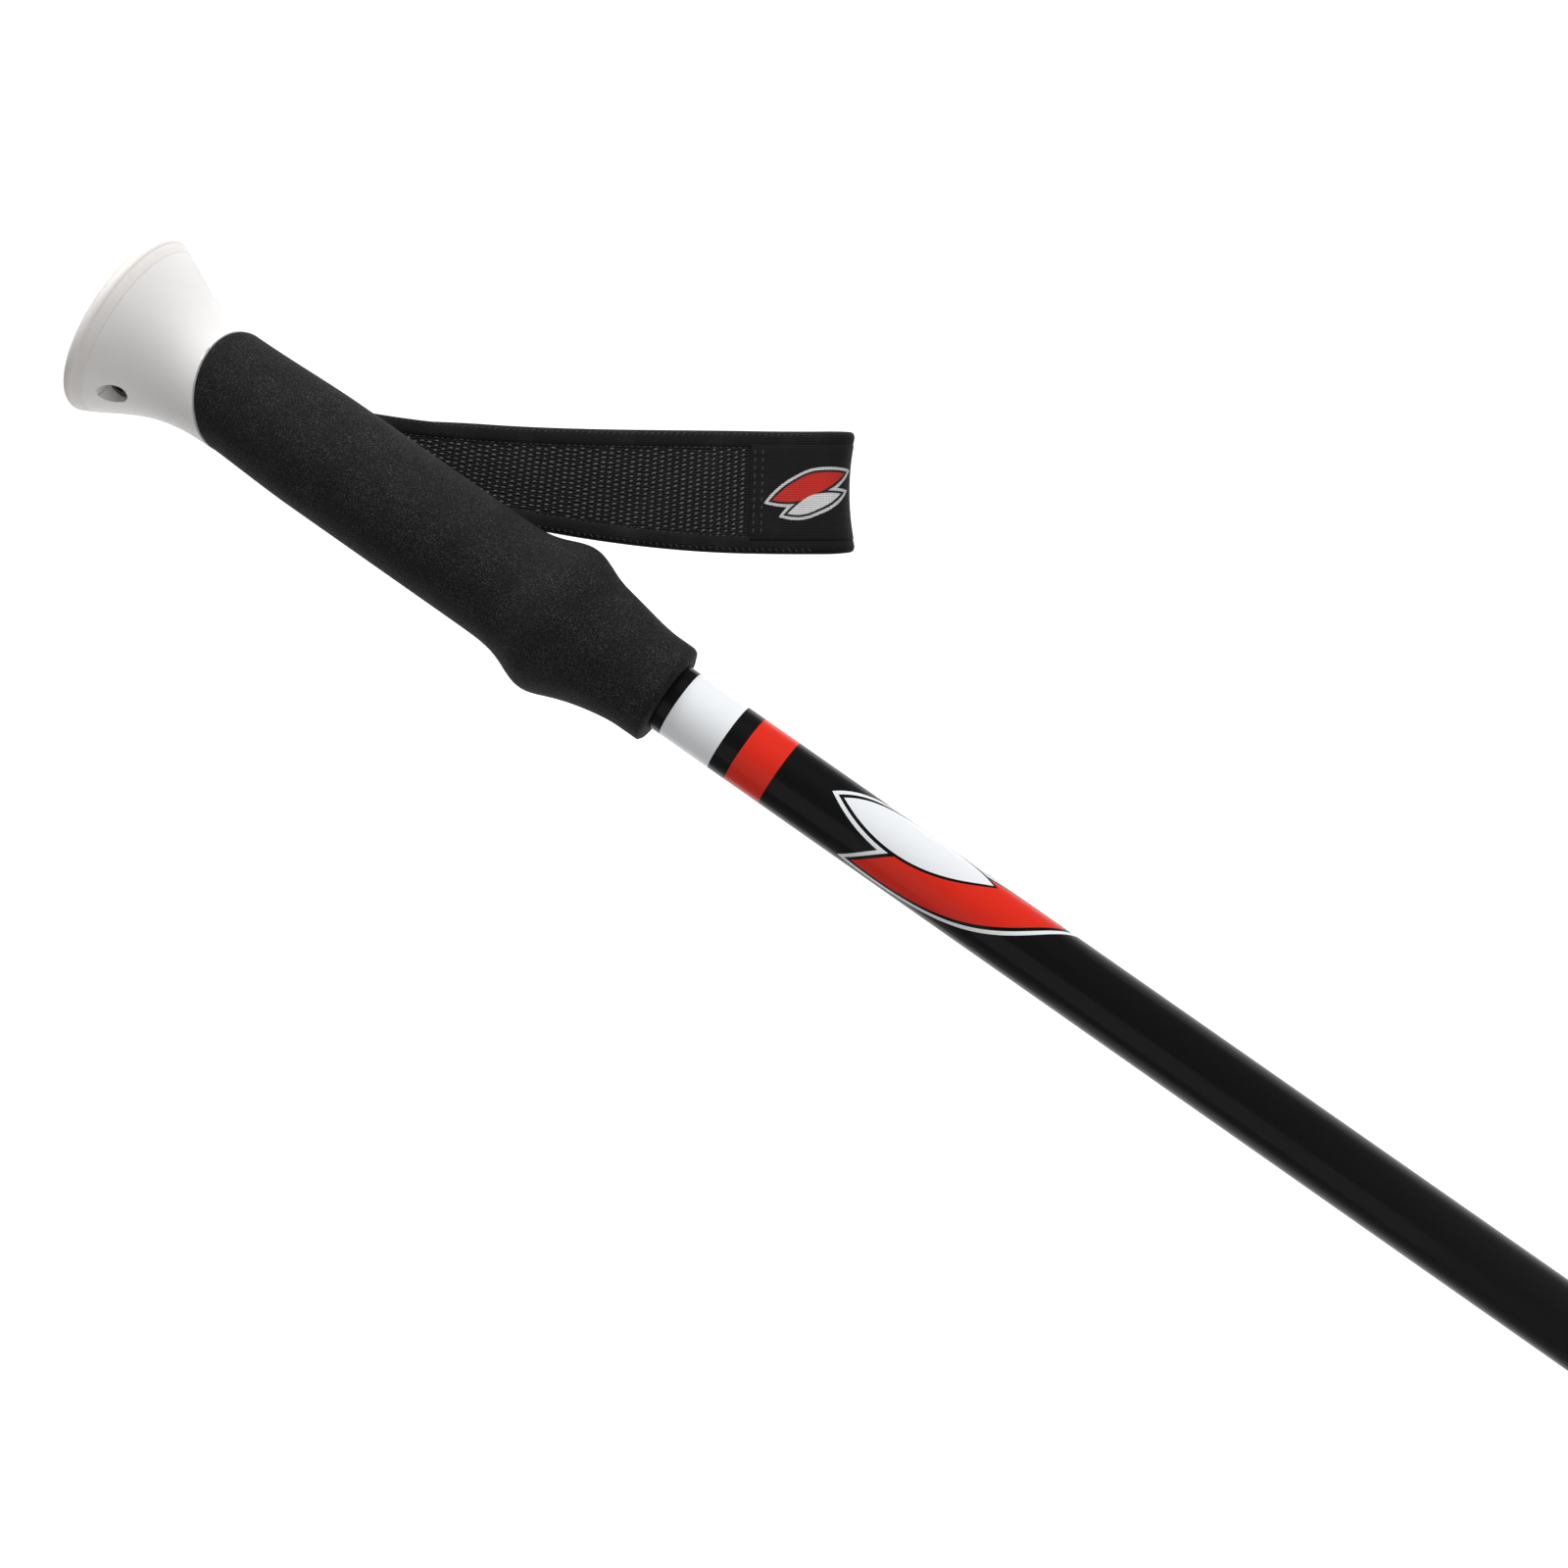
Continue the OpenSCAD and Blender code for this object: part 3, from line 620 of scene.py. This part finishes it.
def pad_profile():
    """Boss, seat, the end of the cap's flare, a full round lip and a gently domed top."""
    seat = RIM_Z - PAD_EDGE
    points = [(0, seat - 2), (12, seat - 2), (12, seat)]
    points += [(flare(z), z) for z in (seat + 0.4 * k for k in range(7))]
    for k in range(17):
        a = math.radians(-25 + 115 * k / 16)
        points.append((RIM_R - 2 + 2 * math.cos(a), RIM_Z + 2 * math.sin(a)))
    for k in range(8, -1, -1):
        share = k / 10
        points.append((RIM_R * share, RIM_Z + 2.4 - 0.5 * share ** 2))
    return points


turned("palm_pad", pad_profile(), 0.25, closed=False, place=lean, segments=160)
softened("strap_screw", 0.2, 3)
softened("strap_sleeve", 0.2, 3)
print("cap made")

# %% [markdown]
# ## One tree for the foam grip
# The foam is ground to a rule: its radius depends only on the height, with a finger bulge that leans a little with
# the hand. Geometry Nodes writes that rule once. A flat grid goes in, its first direction becomes the height and its
# second the angle, and each point moves to where the rule puts it.

# %% Tree helpers
def new_tree(name, inputs):
    """A Geometry Nodes tree with named inputs. inputs is a list of (name, socket type, default)."""
    tree = bpy.data.node_groups.new(name, "GeometryNodeTree")
    tree.interface.new_socket("Geometry", in_out="INPUT", socket_type="NodeSocketGeometry")
    for label, kind, default in inputs:
        made = tree.interface.new_socket(label, in_out="INPUT", socket_type="NodeSocket" + kind)
        if default is not None:
            made.default_value = default
    tree.interface.new_socket("Geometry", in_out="OUTPUT", socket_type="NodeSocketGeometry")
    start = tree.nodes.new("NodeGroupInput")
    end = tree.nodes.new("NodeGroupOutput")
    return tree, {output.name: Socket(tree, output) for output in start.outputs if output.name}, end


def grown(tree, mesh, values):
    """The mesh that a tree makes from a mesh, with the tree's named inputs set."""
    seed = bpy.data.objects.new("seed", mesh)
    bpy.context.scene.collection.objects.link(seed)
    step = seed.modifiers.new("tree", "NODES")
    step.node_group = tree
    for item in tree.interface.items_tree:
        if item.in_out == "INPUT" and item.name in values:
            step[item.identifier] = values[item.name]
    seed.update_tag()
    bpy.context.view_layer.update()
    made = bpy.data.meshes.new_from_object(seed.evaluated_get(bpy.context.evaluated_depsgraph_get()))
    bpy.data.objects.remove(seed)
    return made


# %% The foam's tree
FOAM_LEN = 134.0
SEAM_SLOPE = math.tan(math.radians(24.9))
FOAM_R = 15.5
BORE_R = 9.05


def foam_tree():
    tree, given, end = new_tree("foam_rule", [("Rings", "Int", 220), ("Around", "Int", 161),
                                              ("Radius", "Float", FOAM_R), ("Bulge", "Float", 4.0),
                                              ("Material", "Material", None)])
    grid = add_node(tree, "GeometryNodeMeshGrid", None,
                    {"Size X": 1.0, "Size Y": 1.0, "Vertices X": given["Rings"], "Vertices Y": given["Around"]})
    place = add_node(tree, "GeometryNodeInputPosition")
    split = add_node(tree, "ShaderNodeSeparateXYZ", None, {0: Socket(tree, place.outputs[0])})
    share, angle = (Socket(tree, split.outputs[0]) + 0.5), (Socket(tree, split.outputs[1]) + 0.5) * (2 * math.pi)
    towards_mouth = (angle - (GRIP_TURN + math.pi / 2)).maths("COSINE")
    top = FOAM_LEN - towards_mouth * ((FOAM_R - 0.9) * SEAM_SLOPE)
    height = share * top
    bulge_at = angle.maths("COSINE") * 1.8 + 33.8
    bulge = (((height - bulge_at) / 8.3) ** 2 * -1).maths("EXPONENT") * given["Bulge"]
    radius = given["Radius"] - (1 - height.step(6, 24)) * 2.2 - height.step(105, 137) * 0.9 + bulge
    edge = angle.maths("COSINE") * 0.7 + 1.4
    foot = (1 - height / edge).maths("MAXIMUM", 0)
    radius = radius - (1 - (1 - foot * foot).maths("SQRT")) * edge
    lip = (1 - (top - height) / 0.6).maths("MAXIMUM", 0)
    radius = radius - (1 - (1 - lip * lip).maths("SQRT")) * 0.6
    where = add_node(tree, "ShaderNodeCombineXYZ", None, {0: radius * angle.maths("COSINE") * MM,
                                                          1: radius * angle.maths("SINE") * MM,
                                                          2: height * MM + FOAM_Z})
    moved = add_node(tree, "GeometryNodeSetPosition", None,
                     {"Geometry": Socket(tree, grid.outputs[0]), "Position": Socket(tree, where.outputs[0])})
    joined = add_node(tree, "GeometryNodeMergeByDistance", None,
                      {"Geometry": Socket(tree, moved.outputs[0]), "Distance": 1e-5})
    solid = add_node(tree, "GeometryNodeRealizeInstances", None, {"Geometry": Socket(tree, joined.outputs[0])})
    painted = add_node(tree, "GeometryNodeSetMaterial", None,
                       {"Geometry": Socket(tree, solid.outputs[0]), "Material": given["Material"]})
    tree.links.new(painted.outputs[0], end.inputs[0])
    return tree


def close_to_bore(mesh):
    """Both open rims of a sleeve are led in to the bore and the bore is closed."""
    edit = bmesh.new()
    edit.from_mesh(mesh)
    rims = [edge for edge in edit.edges if edge.is_boundary]
    rings = []
    for low in (True, False):
        ring = [e for e in rims if (e.verts[0].co.z < FOAM_Z + 0.02) == low]
        made = bmesh.ops.extrude_edge_only(edit, edges=ring)["geom"]
        for vertex in (g for g in made if isinstance(g, bmesh.types.BMVert)):
            flat = Vector((vertex.co.x, vertex.co.y))
            inner = flat.normalized() * BORE_R * MM
            vertex.co.x, vertex.co.y = inner
            if not low:
                back = flat - inner
                vertex.co.z += SEAM_SLOPE * (-back.x * math.sin(GRIP_TURN) + back.y * math.cos(GRIP_TURN))
        rings.append([g for g in made if isinstance(g, bmesh.types.BMEdge)])
    bmesh.ops.bridge_loops(edit, edges=rings[0] + rings[1])
    edit.to_mesh(mesh)
    edit.free()
    return mesh


foam_mesh = close_to_bore(grown(foam_tree(), bpy.data.meshes.new("seed"), {"Material": finishes["foam"]}))
foam = settle(finish_piece("ground_foam_grip", foam_mesh, "foam_grip", smooth_angle=50), "foam_grip")
print("foam grip has", len(foam_mesh.polygons), "faces")

# %% [markdown]
# ## The wrist strap's path
# The strap is one belt. It goes round the nut inside the cap, leaves through the mouth as two layers, bends down, and
# is folded at its lower end. Every cloth piece below is described on the belt: a distance from the mouth, a distance
# across, and a height off the middle surface. One function turns that into a place, so that webbing, tape, stitches
# and woven dots always lie on each other.

# %% The belt's rule
STRAP_LEN = 161.7
MOUTH_W, STRAP_W = 15.5, 31.0
WEB_HALF = 1.1
HEADING = (16.4, 38.8, 260.0)
MOUTH_SHIFT = 4.0
WIDEN_RUN = 143.0
DEPTH_GAIN, DEPTH_RUN = 6.0, 40.0
FAR_RISE = 2.4
along_screw = Vector((math.cos(GRIP_TURN), math.sin(GRIP_TURN), 0))
to_mouth = Vector((-math.sin(GRIP_TURN), math.cos(GRIP_TURN), 0))
screw_middle = MOUTH_SHIFT / 2 * along_screw + Vector((0, 0, FOAM_Z / MM + 155.3))
hinge = MOUTH_SHIFT * along_screw + 20.5 * to_mouth + Vector((0, 0, FOAM_Z / MM + 144))
TAIL = (hinge - screw_middle).length


def ease(t):
    u = max(0.0, min(1.0, t))
    return u * u * (3 - 2 * u)


def heading(l):
    first, last, run = HEADING
    return math.radians(first + (last - first) * math.sin(math.pi / 2 * min(1.0, max(0.0, l) / run)))


def strap_width(l):
    return MOUTH_W + (STRAP_W - MOUTH_W) * ease(l / WIDEN_RUN)


def half_gap(l):
    """Half the distance between the two layers."""
    return 1.9 + 4.1 * ease(l / 60) + 1.8 * (1 - ease((l + TAIL) / 9))


def raw_middle(l, cache={}):
    """The belt's middle before its bend at the mouth is rounded, at half-millimetre steps."""
    if l <= 0:
        return hinge + (hinge - screw_middle).normalized() * l
    if not cache:
        x, z = hinge.x, hinge.z
        for k in range(int(2 * STRAP_LEN) + 1):
            cache[k] = (x, z)
            turn = heading((k + 0.5) / 2)
            x, z = x + 0.5 * math.sin(turn), z - 0.5 * math.cos(turn)
    k = min(int(2 * l), int(2 * STRAP_LEN) - 1)
    share = 2 * l - k
    x, z = (a + (b - a) * share for a, b in zip(cache[k], cache[k + 1]))
    return Vector((x, hinge.y + DEPTH_GAIN * ease(l / DEPTH_RUN), z))


def raw_across(l):
    turn, twist = heading(l), GRIP_TURN * (1 - ease(l / 60))
    return Vector((math.cos(turn) * math.cos(twist), math.sin(twist), math.sin(turn) * math.cos(twist)))


BEND = (-5.0, 8.0)


def belt_frame(l):
    """Middle, way along, way across and way out of the far face at a distance from the mouth."""
    def middle(d):
        if BEND[0] < d < BEND[1]:
            t = (d - BEND[0]) / (BEND[1] - BEND[0])
            return ((1 - t) ** 2 * raw_middle(BEND[0]) + 2 * t * (1 - t) * hinge + t * t * raw_middle(BEND[1]))
        return raw_middle(d)

    share = ease((l - BEND[0]) / (BEND[1] - BEND[0]))
    across = along_screw.lerp(raw_across(max(l, BEND[1])), share)
    low, high = max(l - 0.6, -TAIL), min(l + 0.6, STRAP_LEN)
    along = (middle(high) - middle(low)).normalized()
    out = across.cross(along).normalized()
    return middle(l), along, along.cross(out).normalized(), out


class Station:
    """One cross section of the belt. angle is 0 on the near layer and pi on the far one, which hangs higher."""

    def __init__(self, l, angle):
        middle, along, across, out = belt_frame(l)
        self.l, self.along, self.across = l, along, across
        ahead = along if l > 0 else -along
        self.out = (math.sin(angle) * ahead - math.cos(angle) * out).normalized()
        rise = FAR_RISE * ease((l - 20) / 50) * (1 - math.cos(angle)) / 2
        self.middle = middle + half_gap(l) * self.out + rise * across
        self.dip = 1.5 * ease((l - STRAP_LEN + 8) / 8)

    def at(self, v, h):
        """The place at v across and h off the middle surface, in metres. The fold's middle is drawn in a little."""
        dish = self.dip * max(0.0, 1 - (2.2 * v / STRAP_W) ** 2)
        return (self.middle + v * self.across + h * self.out - dish * self.along) * MM


def belt(first, last, step=1.5, whole=False):
    """Stations down the near layer from first, round the fold and back up the far layer to last."""
    count = max(2, round((STRAP_LEN - first) / step))
    down = [Station(first + (STRAP_LEN - first) * k / count, 0) for k in range(count)]
    fold = [Station(STRAP_LEN, math.pi * k / 18) for k in range(19)]
    count = max(2, round((STRAP_LEN - last) / step))
    up = [Station(STRAP_LEN - (STRAP_LEN - last) * k / count, math.pi) for k in range(1, count + 1)]
    turn = [Station(-TAIL, math.pi * (1 - k / 12)) for k in range(1, 12)] if whole else []
    return down + fold + up + turn


def lengths(stations):
    """Distance along the belt at each station, in millimetres."""
    out = [0.0]
    for a, b in zip(stations, stations[1:]):
        out.append(out[-1] + (b.middle - a.middle).length)
    return out


whole_belt = belt(-TAIL, -TAIL, whole=True)
belt_run = lengths(whole_belt)
belt_total = belt_run[-1] + (whole_belt[0].middle - whole_belt[-1].middle).length
FOLD_START = lengths(belt(-TAIL, -TAIL))[round((STRAP_LEN + TAIL) / 1.5)]
print("the belt is", round(belt_total, 1), "mm round, and its fold starts at", round(FOLD_START, 1))

# %% [markdown]
# ## Cloth finishes
# The cloth pieces carry a map of their own: its first number runs along the belt and its second across, both in
# millimetres times MAP_SCALE. A weave drawn on that map follows every bend of the cloth.

# %% Webbing, tape, patch and yarn
MAP_SCALE = 0.01
PRINT_AT = FOLD_START - 3.0
PATCH_REACH = 18.7


def weave(u, v, pitch_u, pitch_v):
    """Height of a plain weave: yarns that cross over and under in a chequer."""
    a = (u * (math.pi / pitch_u)).maths("SINE")
    b = (v * (math.pi / pitch_v)).maths("SINE")
    return (a * b).maths("ABSOLUTE")


def make_cloth_finish(name, dark, light, pitch, depth, roughness, fuzz, prints=None):
    paint = Finish(name, specular_ior_level=0.12, sheen_weight=0.05, sheen_roughness=0.45)
    u, v, _ = paint.apart(paint.map)
    u, v = u / MAP_SCALE, v / MAP_SCALE
    flat = paint.together(u, v, 0.0)
    height = weave(u, v, *pitch)
    fibre = paint.noise(3.0, 3.0, 0.7, flat)
    lint = paint.noise(0.08, 4.0, 0.6, flat).step(0.45, 0.8)
    # Painted highlight and painted shade: the weave's raised crowns are painted lighter and its hollows darker, mixed
    # with random fibre tone.
    colour = paint.colour(height * 0.6 + fibre * 0.4, dark, light)
    colour = paint.colour(lint * fuzz, colour, (0.05, 0.05, 0.052))
    if prints:
        colour = prints(paint, u, v, colour, height)
    paint.set(base_color=colour, roughness=roughness + 0.2 * fibre)
    paint.bump(height + 0.5 * fibre, depth)
    finishes[name] = paint.material


def printed_leaves(paint, u, v, colour, height):
    """Two small leaves in the shaft's colours on the outside of the patch, laid along the belt."""
    wobble = (paint.noise(1.4, 2.0, 0.5, paint.together(u, v, 0.0)) - 0.5) * 0.35
    red = lens(u + wobble, v, (PRINT_AT, 1.4), 20.0, 20.0, 5.6)
    white = lens(u + wobble, v, (PRINT_AT + 1.5, -2.9), 20.0, 15.0, 4.0)
    both = red.maths("MINIMUM", white)
    thread_gap = 0.75 + 0.25 * height
    colour = paint.colour(both.below(1.3) * thread_gap, colour, (0.66, 0.66, 0.66))
    colour = paint.colour(both.below(0.6), colour, (0.02, 0.02, 0.02))
    colour = paint.colour(red.below(0) * thread_gap, colour, (0.62, 0.03, 0.02))
    return paint.colour(white.below(0) * thread_gap, colour, (0.72, 0.72, 0.72))


def make_yarn_finish(name, dark, light, roughness):
    """Bright thread: the twist shows as fine slanted lines, raised by bump and painted darker in its grooves as
    painted shade.
    """
    paint = Finish(name, specular_ior_level=0.4, sheen_weight=0.2)
    x, y, z = paint.apart(paint.place)
    twist = ((x + y + z) * 9.0).maths("SINE") * 0.5 + 0.5
    shade = paint.noise(0.15, 2.0)
    # Painted shade: the twist's grooves are painted darker, mixed with a random tone.
    paint.set(base_color=paint.colour(twist * 0.5 + shade * 0.5, dark, light), roughness=roughness + 0.1 * shade)
    paint.bump(twist, 0.03)
    finishes[name] = paint.material


make_cloth_finish("webbing", (0.004, 0.004, 0.0042), (0.013, 0.013, 0.0135), (1.0, 0.75), 0.22, 0.62, 0.12)
make_cloth_finish("binding", (0.005, 0.005, 0.0052), (0.012, 0.012, 0.0125), (0.55, 0.5), 0.10, 0.72, 0.22)
make_cloth_finish("patch", (0.004, 0.004, 0.0042), (0.011, 0.011, 0.0115), (0.6, 0.55), 0.10, 0.60, 0.10,
                  printed_leaves)
make_yarn_finish("grey_yarn", (0.045, 0.045, 0.047), (0.115, 0.115, 0.118), 0.5)
make_yarn_finish("black_yarn", (0.007, 0.007, 0.0073), (0.026, 0.026, 0.027), 0.55)
print(len(finishes), "finishes made")

# %% [markdown]
# ## Webbing, edge tape and patch
# A cloth piece is a cross section swept along the belt. The webbing's is a flat bar with soft edges, the tape's is a
# rounded pad that wraps each edge, and the patch's is a thin strip on the outside of the fold.

# %% Sweeping a section along the belt
def swept(mesh_data, stations, section, closed, runs):
    """Adds a swept band to (points, faces, map). section(station) lists (across, height) all round."""
    points, faces, maps = mesh_data
    base = len(points)
    rings = [section(s) for s in stations]
    size = len(rings[0])
    for station, ring in zip(stations, rings):
        points.extend(station.at(v, h) for v, h in ring)
    last = len(stations) if closed else len(stations) - 1
    run_end = runs + ([runs[-1] + 1.5] if closed else [])
    for i in range(last):
        j = (i + 1) % len(stations)
        for k in range(size):
            m = (k + 1) % size
            faces.append([base + i * size + k, base + i * size + m, base + j * size + m, base + j * size + k])
            maps.append([(run_end[i], rings[i][k][0]), (run_end[i], rings[i][m][0]),
                         (run_end[i + 1], rings[j][m][0]), (run_end[i + 1], rings[j][k][0])])
    if not closed:
        for i in (0, len(stations) - 1):
            faces.append([base + i * size + k for k in range(size)])
            maps.append([(runs[i], rings[i][k][0]) for k in range(size)])


def cloth_piece(name, mesh_data, finish):
    points, faces, maps = mesh_data
    mesh = bpy.data.meshes.new(name)
    mesh.from_pydata([tuple(p) for p in points], [], faces)
    layer = mesh.uv_layers.new(name="belt")
    flat = [value * MAP_SCALE for face in maps for corner in face for value in corner]
    layer.data.foreach_set("uv", flat)
    edit = bmesh.new()
    edit.from_mesh(mesh)
    bmesh.ops.recalc_face_normals(edit, faces=edit.faces)
    edit.to_mesh(mesh)
    edit.free()
    mesh.shade_smooth()
    mesh.materials.append(finishes[finish])
    piece = bpy.data.objects.new(name, mesh)
    bpy.context.scene.collection.objects.link(piece)
    return piece


def bar(low, high, inner, outer, round_r, divisions=12):
    """A flat bar with rounded corners, as (across, height) points all round."""
    r = min(round_r, (outer - inner) / 2.01)
    ring = []
    for cx, cy, start in ((high - r, outer - r, 90), (high - r, inner + r, 0),
                          (low + r, inner + r, -90), (low + r, outer - r, -180)):
        for k in range(4):
            a = math.radians(start - 30 * k)
            ring.append((cx + r * math.cos(a), cy + r * math.sin(a)))
    flats = [(low + r + (high - low - 2 * r) * k / divisions) for k in range(1, divisions)]
    return ring[:8] + [(v, inner) for v in reversed(flats)] + ring[8:] + [(v, outer) for v in flats]


def bend_at_mouth(piece):
    """Bakes the piece's placement into its mesh."""
    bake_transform(piece)
    return piece


# %% The strap's three cloth pieces
TAPE_W = 4.6
web_data, tape_data, patch_data = ([], [], []), ([], [], []), ([], [], [])
swept(web_data, whole_belt,
      lambda s: bar(1.2 - strap_width(s.l) / 2, strap_width(s.l) / 2 - 1.2, -WEB_HALF, WEB_HALF, 0.4), True, belt_run)
for side in (-1, 1):
    def tape_section(s, side=side):
        middle = side * (strap_width(s.l) - TAPE_W) / 2
        return [(middle + TAPE_W / 2 * math.copysign(abs(math.cos(a)) ** 0.7, math.cos(a)),
                 1.5 * math.copysign(abs(math.sin(a)) ** 0.75, math.sin(a)))
                for a in (2 * math.pi * (k + 0.5) / 20 for k in range(20))]

    swept(tape_data, whole_belt, tape_section, True, belt_run)
patch_belt = belt(STRAP_LEN - PATCH_REACH, STRAP_LEN - PATCH_REACH, 1.0)
patch_start = belt_run[0] + lengths(belt(-TAIL, -TAIL))[round((STRAP_LEN - PATCH_REACH + TAIL) / 1.5)]
patch_run = [patch_start + run for run in lengths(patch_belt)]
swept(patch_data, patch_belt,
      lambda s: bar(3.4 - strap_width(s.l) / 2, strap_width(s.l) / 2 - 3.4, WEB_HALF - 0.3, WEB_HALF + 0.55, 0.3),
      False, patch_run)
webbing = bend_at_mouth(cloth_piece("strap_webbing_cloth", web_data, "webbing"))
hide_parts("strap_webbing", "strap_tail")
tape = bend_at_mouth(cloth_piece("strap_edge_tape", tape_data, "binding"))
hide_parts("strap_binding")
patch = bend_at_mouth(cloth_piece("strap_fold_patch", patch_data, "patch"))
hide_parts("strap_patch")
print("cloth faces", [len(p.data.polygons) for p in (webbing, tape, patch)])

# %% [markdown]
# ## Stitches and woven dots
# A stitch and a woven dot are each one small shape repeated many times. One tree serves them all: it puts a shape on
# every point of a mesh of loose points, turned by two directions that the points carry.

# %% The tree that repeats a small shape
def repeat_tree():
    tree, given, end = new_tree("repeat_small_shape", [
        ("Length", "Float", 1.0), ("Width", "Float", 0.6), ("Height", "Float", 0.3), ("Jitter", "Float", 0.1),
        ("Seed", "Int", 7), ("Material", "Material", None)])
    shape = add_node(tree, "GeometryNodeMeshIcoSphere", None, {"Radius": 0.5, "Subdivisions": 1})
    soft = add_node(tree, "GeometryNodeSetShadeSmooth", None, {"Geometry": Socket(tree, shape.outputs[0])})

    def carried(name):
        node = add_node(tree, "GeometryNodeInputNamedAttribute", {"data_type": "FLOAT_VECTOR"}, {"Name": name})
        return Socket(tree, node.outputs["Attribute"])

    turned_up = add_node(tree, "FunctionNodeAlignRotationToVector", {"axis": "Z"}, {"Vector": carried("out")})
    turned_on = add_node(tree, "FunctionNodeAlignRotationToVector", {"axis": "X", "pivot_axis": "Z"},
                         {"Rotation": Socket(tree, turned_up.outputs[0]), "Vector": carried("way")})
    chance = add_node(tree, "FunctionNodeRandomValue", {"data_type": "FLOAT"}, {"Seed": given["Seed"]})
    spread = (Socket(tree, chance.outputs[1]) * 2 - 1) * given["Jitter"] + 1
    size = add_node(tree, "ShaderNodeCombineXYZ", None,
                    {0: given["Length"] * spread * MM, 1: given["Width"] * spread * MM, 2: given["Height"] * MM})
    placed = add_node(tree, "GeometryNodeInstanceOnPoints", None,
                      {"Instance": Socket(tree, soft.outputs[0]), "Rotation": Socket(tree, turned_on.outputs[0]),
                       "Scale": Socket(tree, size.outputs[0]), "Points": given["Geometry"]})
    solid = add_node(tree, "GeometryNodeRealizeInstances", None, {"Geometry": Socket(tree, placed.outputs[0])})
    painted = add_node(tree, "GeometryNodeSetMaterial", None,
                       {"Geometry": Socket(tree, solid.outputs[0]), "Material": given["Material"]})
    tree.links.new(painted.outputs[0], end.inputs[0])
    return tree


repeat = repeat_tree()


def repeated(name, marks, values):
    """A piece of many small shapes. marks lists (place in metres, way out, way along)."""
    mesh = bpy.data.meshes.new("marks")
    mesh.from_pydata([tuple(mark[0]) for mark in marks], [], [])
    for label, column in (("out", 1), ("way", 2)):
        layer = mesh.attributes.new(label, "FLOAT_VECTOR", "POINT")
        layer.data.foreach_set("vector", [value for mark in marks for value in mark[column]])
    made = grown(repeat, mesh, values)
    made.materials.clear()
    made.materials.append(values["Material"])
    piece = bpy.data.objects.new(name, made)
    bpy.context.scene.collection.objects.link(piece)
    print(name, len(marks), "shapes,", len(made.polygons), "faces")
    return piece


# %% Woven dots, tape stitches and the patch's seams
DOT_ROWS = 1.22
DOT_COLUMNS = 1.9
TAPE_FIELD = 5.0


def layer_marks(places):
    """Marks on both faces of both layers. places lists (distance, across, height, slant off the strap's way)."""
    marks = []
    for l, v, h, slant in places:
        for angle in (0, math.pi):
            station = Station(l, angle)
            way = math.cos(slant) * station.along + math.sin(slant) * station.across
            for face in (1, -1):
                marks.append((station.at(v, face * h), face * station.out, way))
    return marks


def dot_places():
    """Columns across the strap, each half a row off its neighbours; the floats tilt more towards the fold."""
    places = []
    for column in range(int((STRAP_LEN - PATCH_REACH - 4.5) / DOT_COLUMNS)):
        l = 6 + DOT_COLUMNS * column
        rows = int((strap_width(l) - 2 * TAPE_FIELD) / DOT_ROWS)
        shift = 0.25 * (1 if column % 2 else -1)
        for row in range(rows + 1):
            places.append((l, (row - rows / 2 + shift) * DOT_ROWS, WEB_HALF + 0.02, 0.5 * ease((l - 90) / 50)))
    return places


def tape_places():
    """Two rows on each tape: an over-edge stitch at its rim and a straight one along its inner side."""
    places = []
    for side in (-1, 1):
        for k in range(95):
            l = 3 + 1.65 * k
            places.append((l, side * (strap_width(l) / 2 - 0.9), 1.30, side * 0.9))
            places.append((l, side * (strap_width(l) / 2 - 4.2), 1.12, 0.0))
    return places


dots = repeated("strap_woven_dots", layer_marks(dot_places()),
                {"Length": 1.25, "Width": 0.55, "Height": 0.3, "Jitter": 0.14, "Seed": 3,
                 "Material": finishes["grey_yarn"]})
tape_stitches = repeated("strap_tape_stitches", layer_marks(tape_places()),
                         {"Length": 1.3, "Width": 0.34, "Height": 0.4, "Jitter": 0.2, "Seed": 5,
                          "Material": finishes["black_yarn"]})
seam_marks = []
for l in (STRAP_LEN - PATCH_REACH + 1, STRAP_LEN - PATCH_REACH + 3):
    for angle in (0, math.pi):
        station = Station(l, angle)
        for k in range(11):
            seam_marks.append((station.at(-10 + 2 * k, WEB_HALF + 0.6), station.out, station.across))
seams = repeated("strap_patch_seams", seam_marks,
                 {"Length": 1.6, "Width": 0.45, "Height": 0.4, "Jitter": 0.06, "Seed": 9,
                  "Material": finishes["black_yarn"]})
for piece in (dots, tape_stitches, seams):
    bend_at_mouth(piece)
cut_area = sum((strap_width(s.l) * MM) * (b - a) * MM for s, a, b in zip(whole_belt, belt_run, belt_run[1:]))
print("flat area in square centimetres", round(cut_area * 1e4, 1))
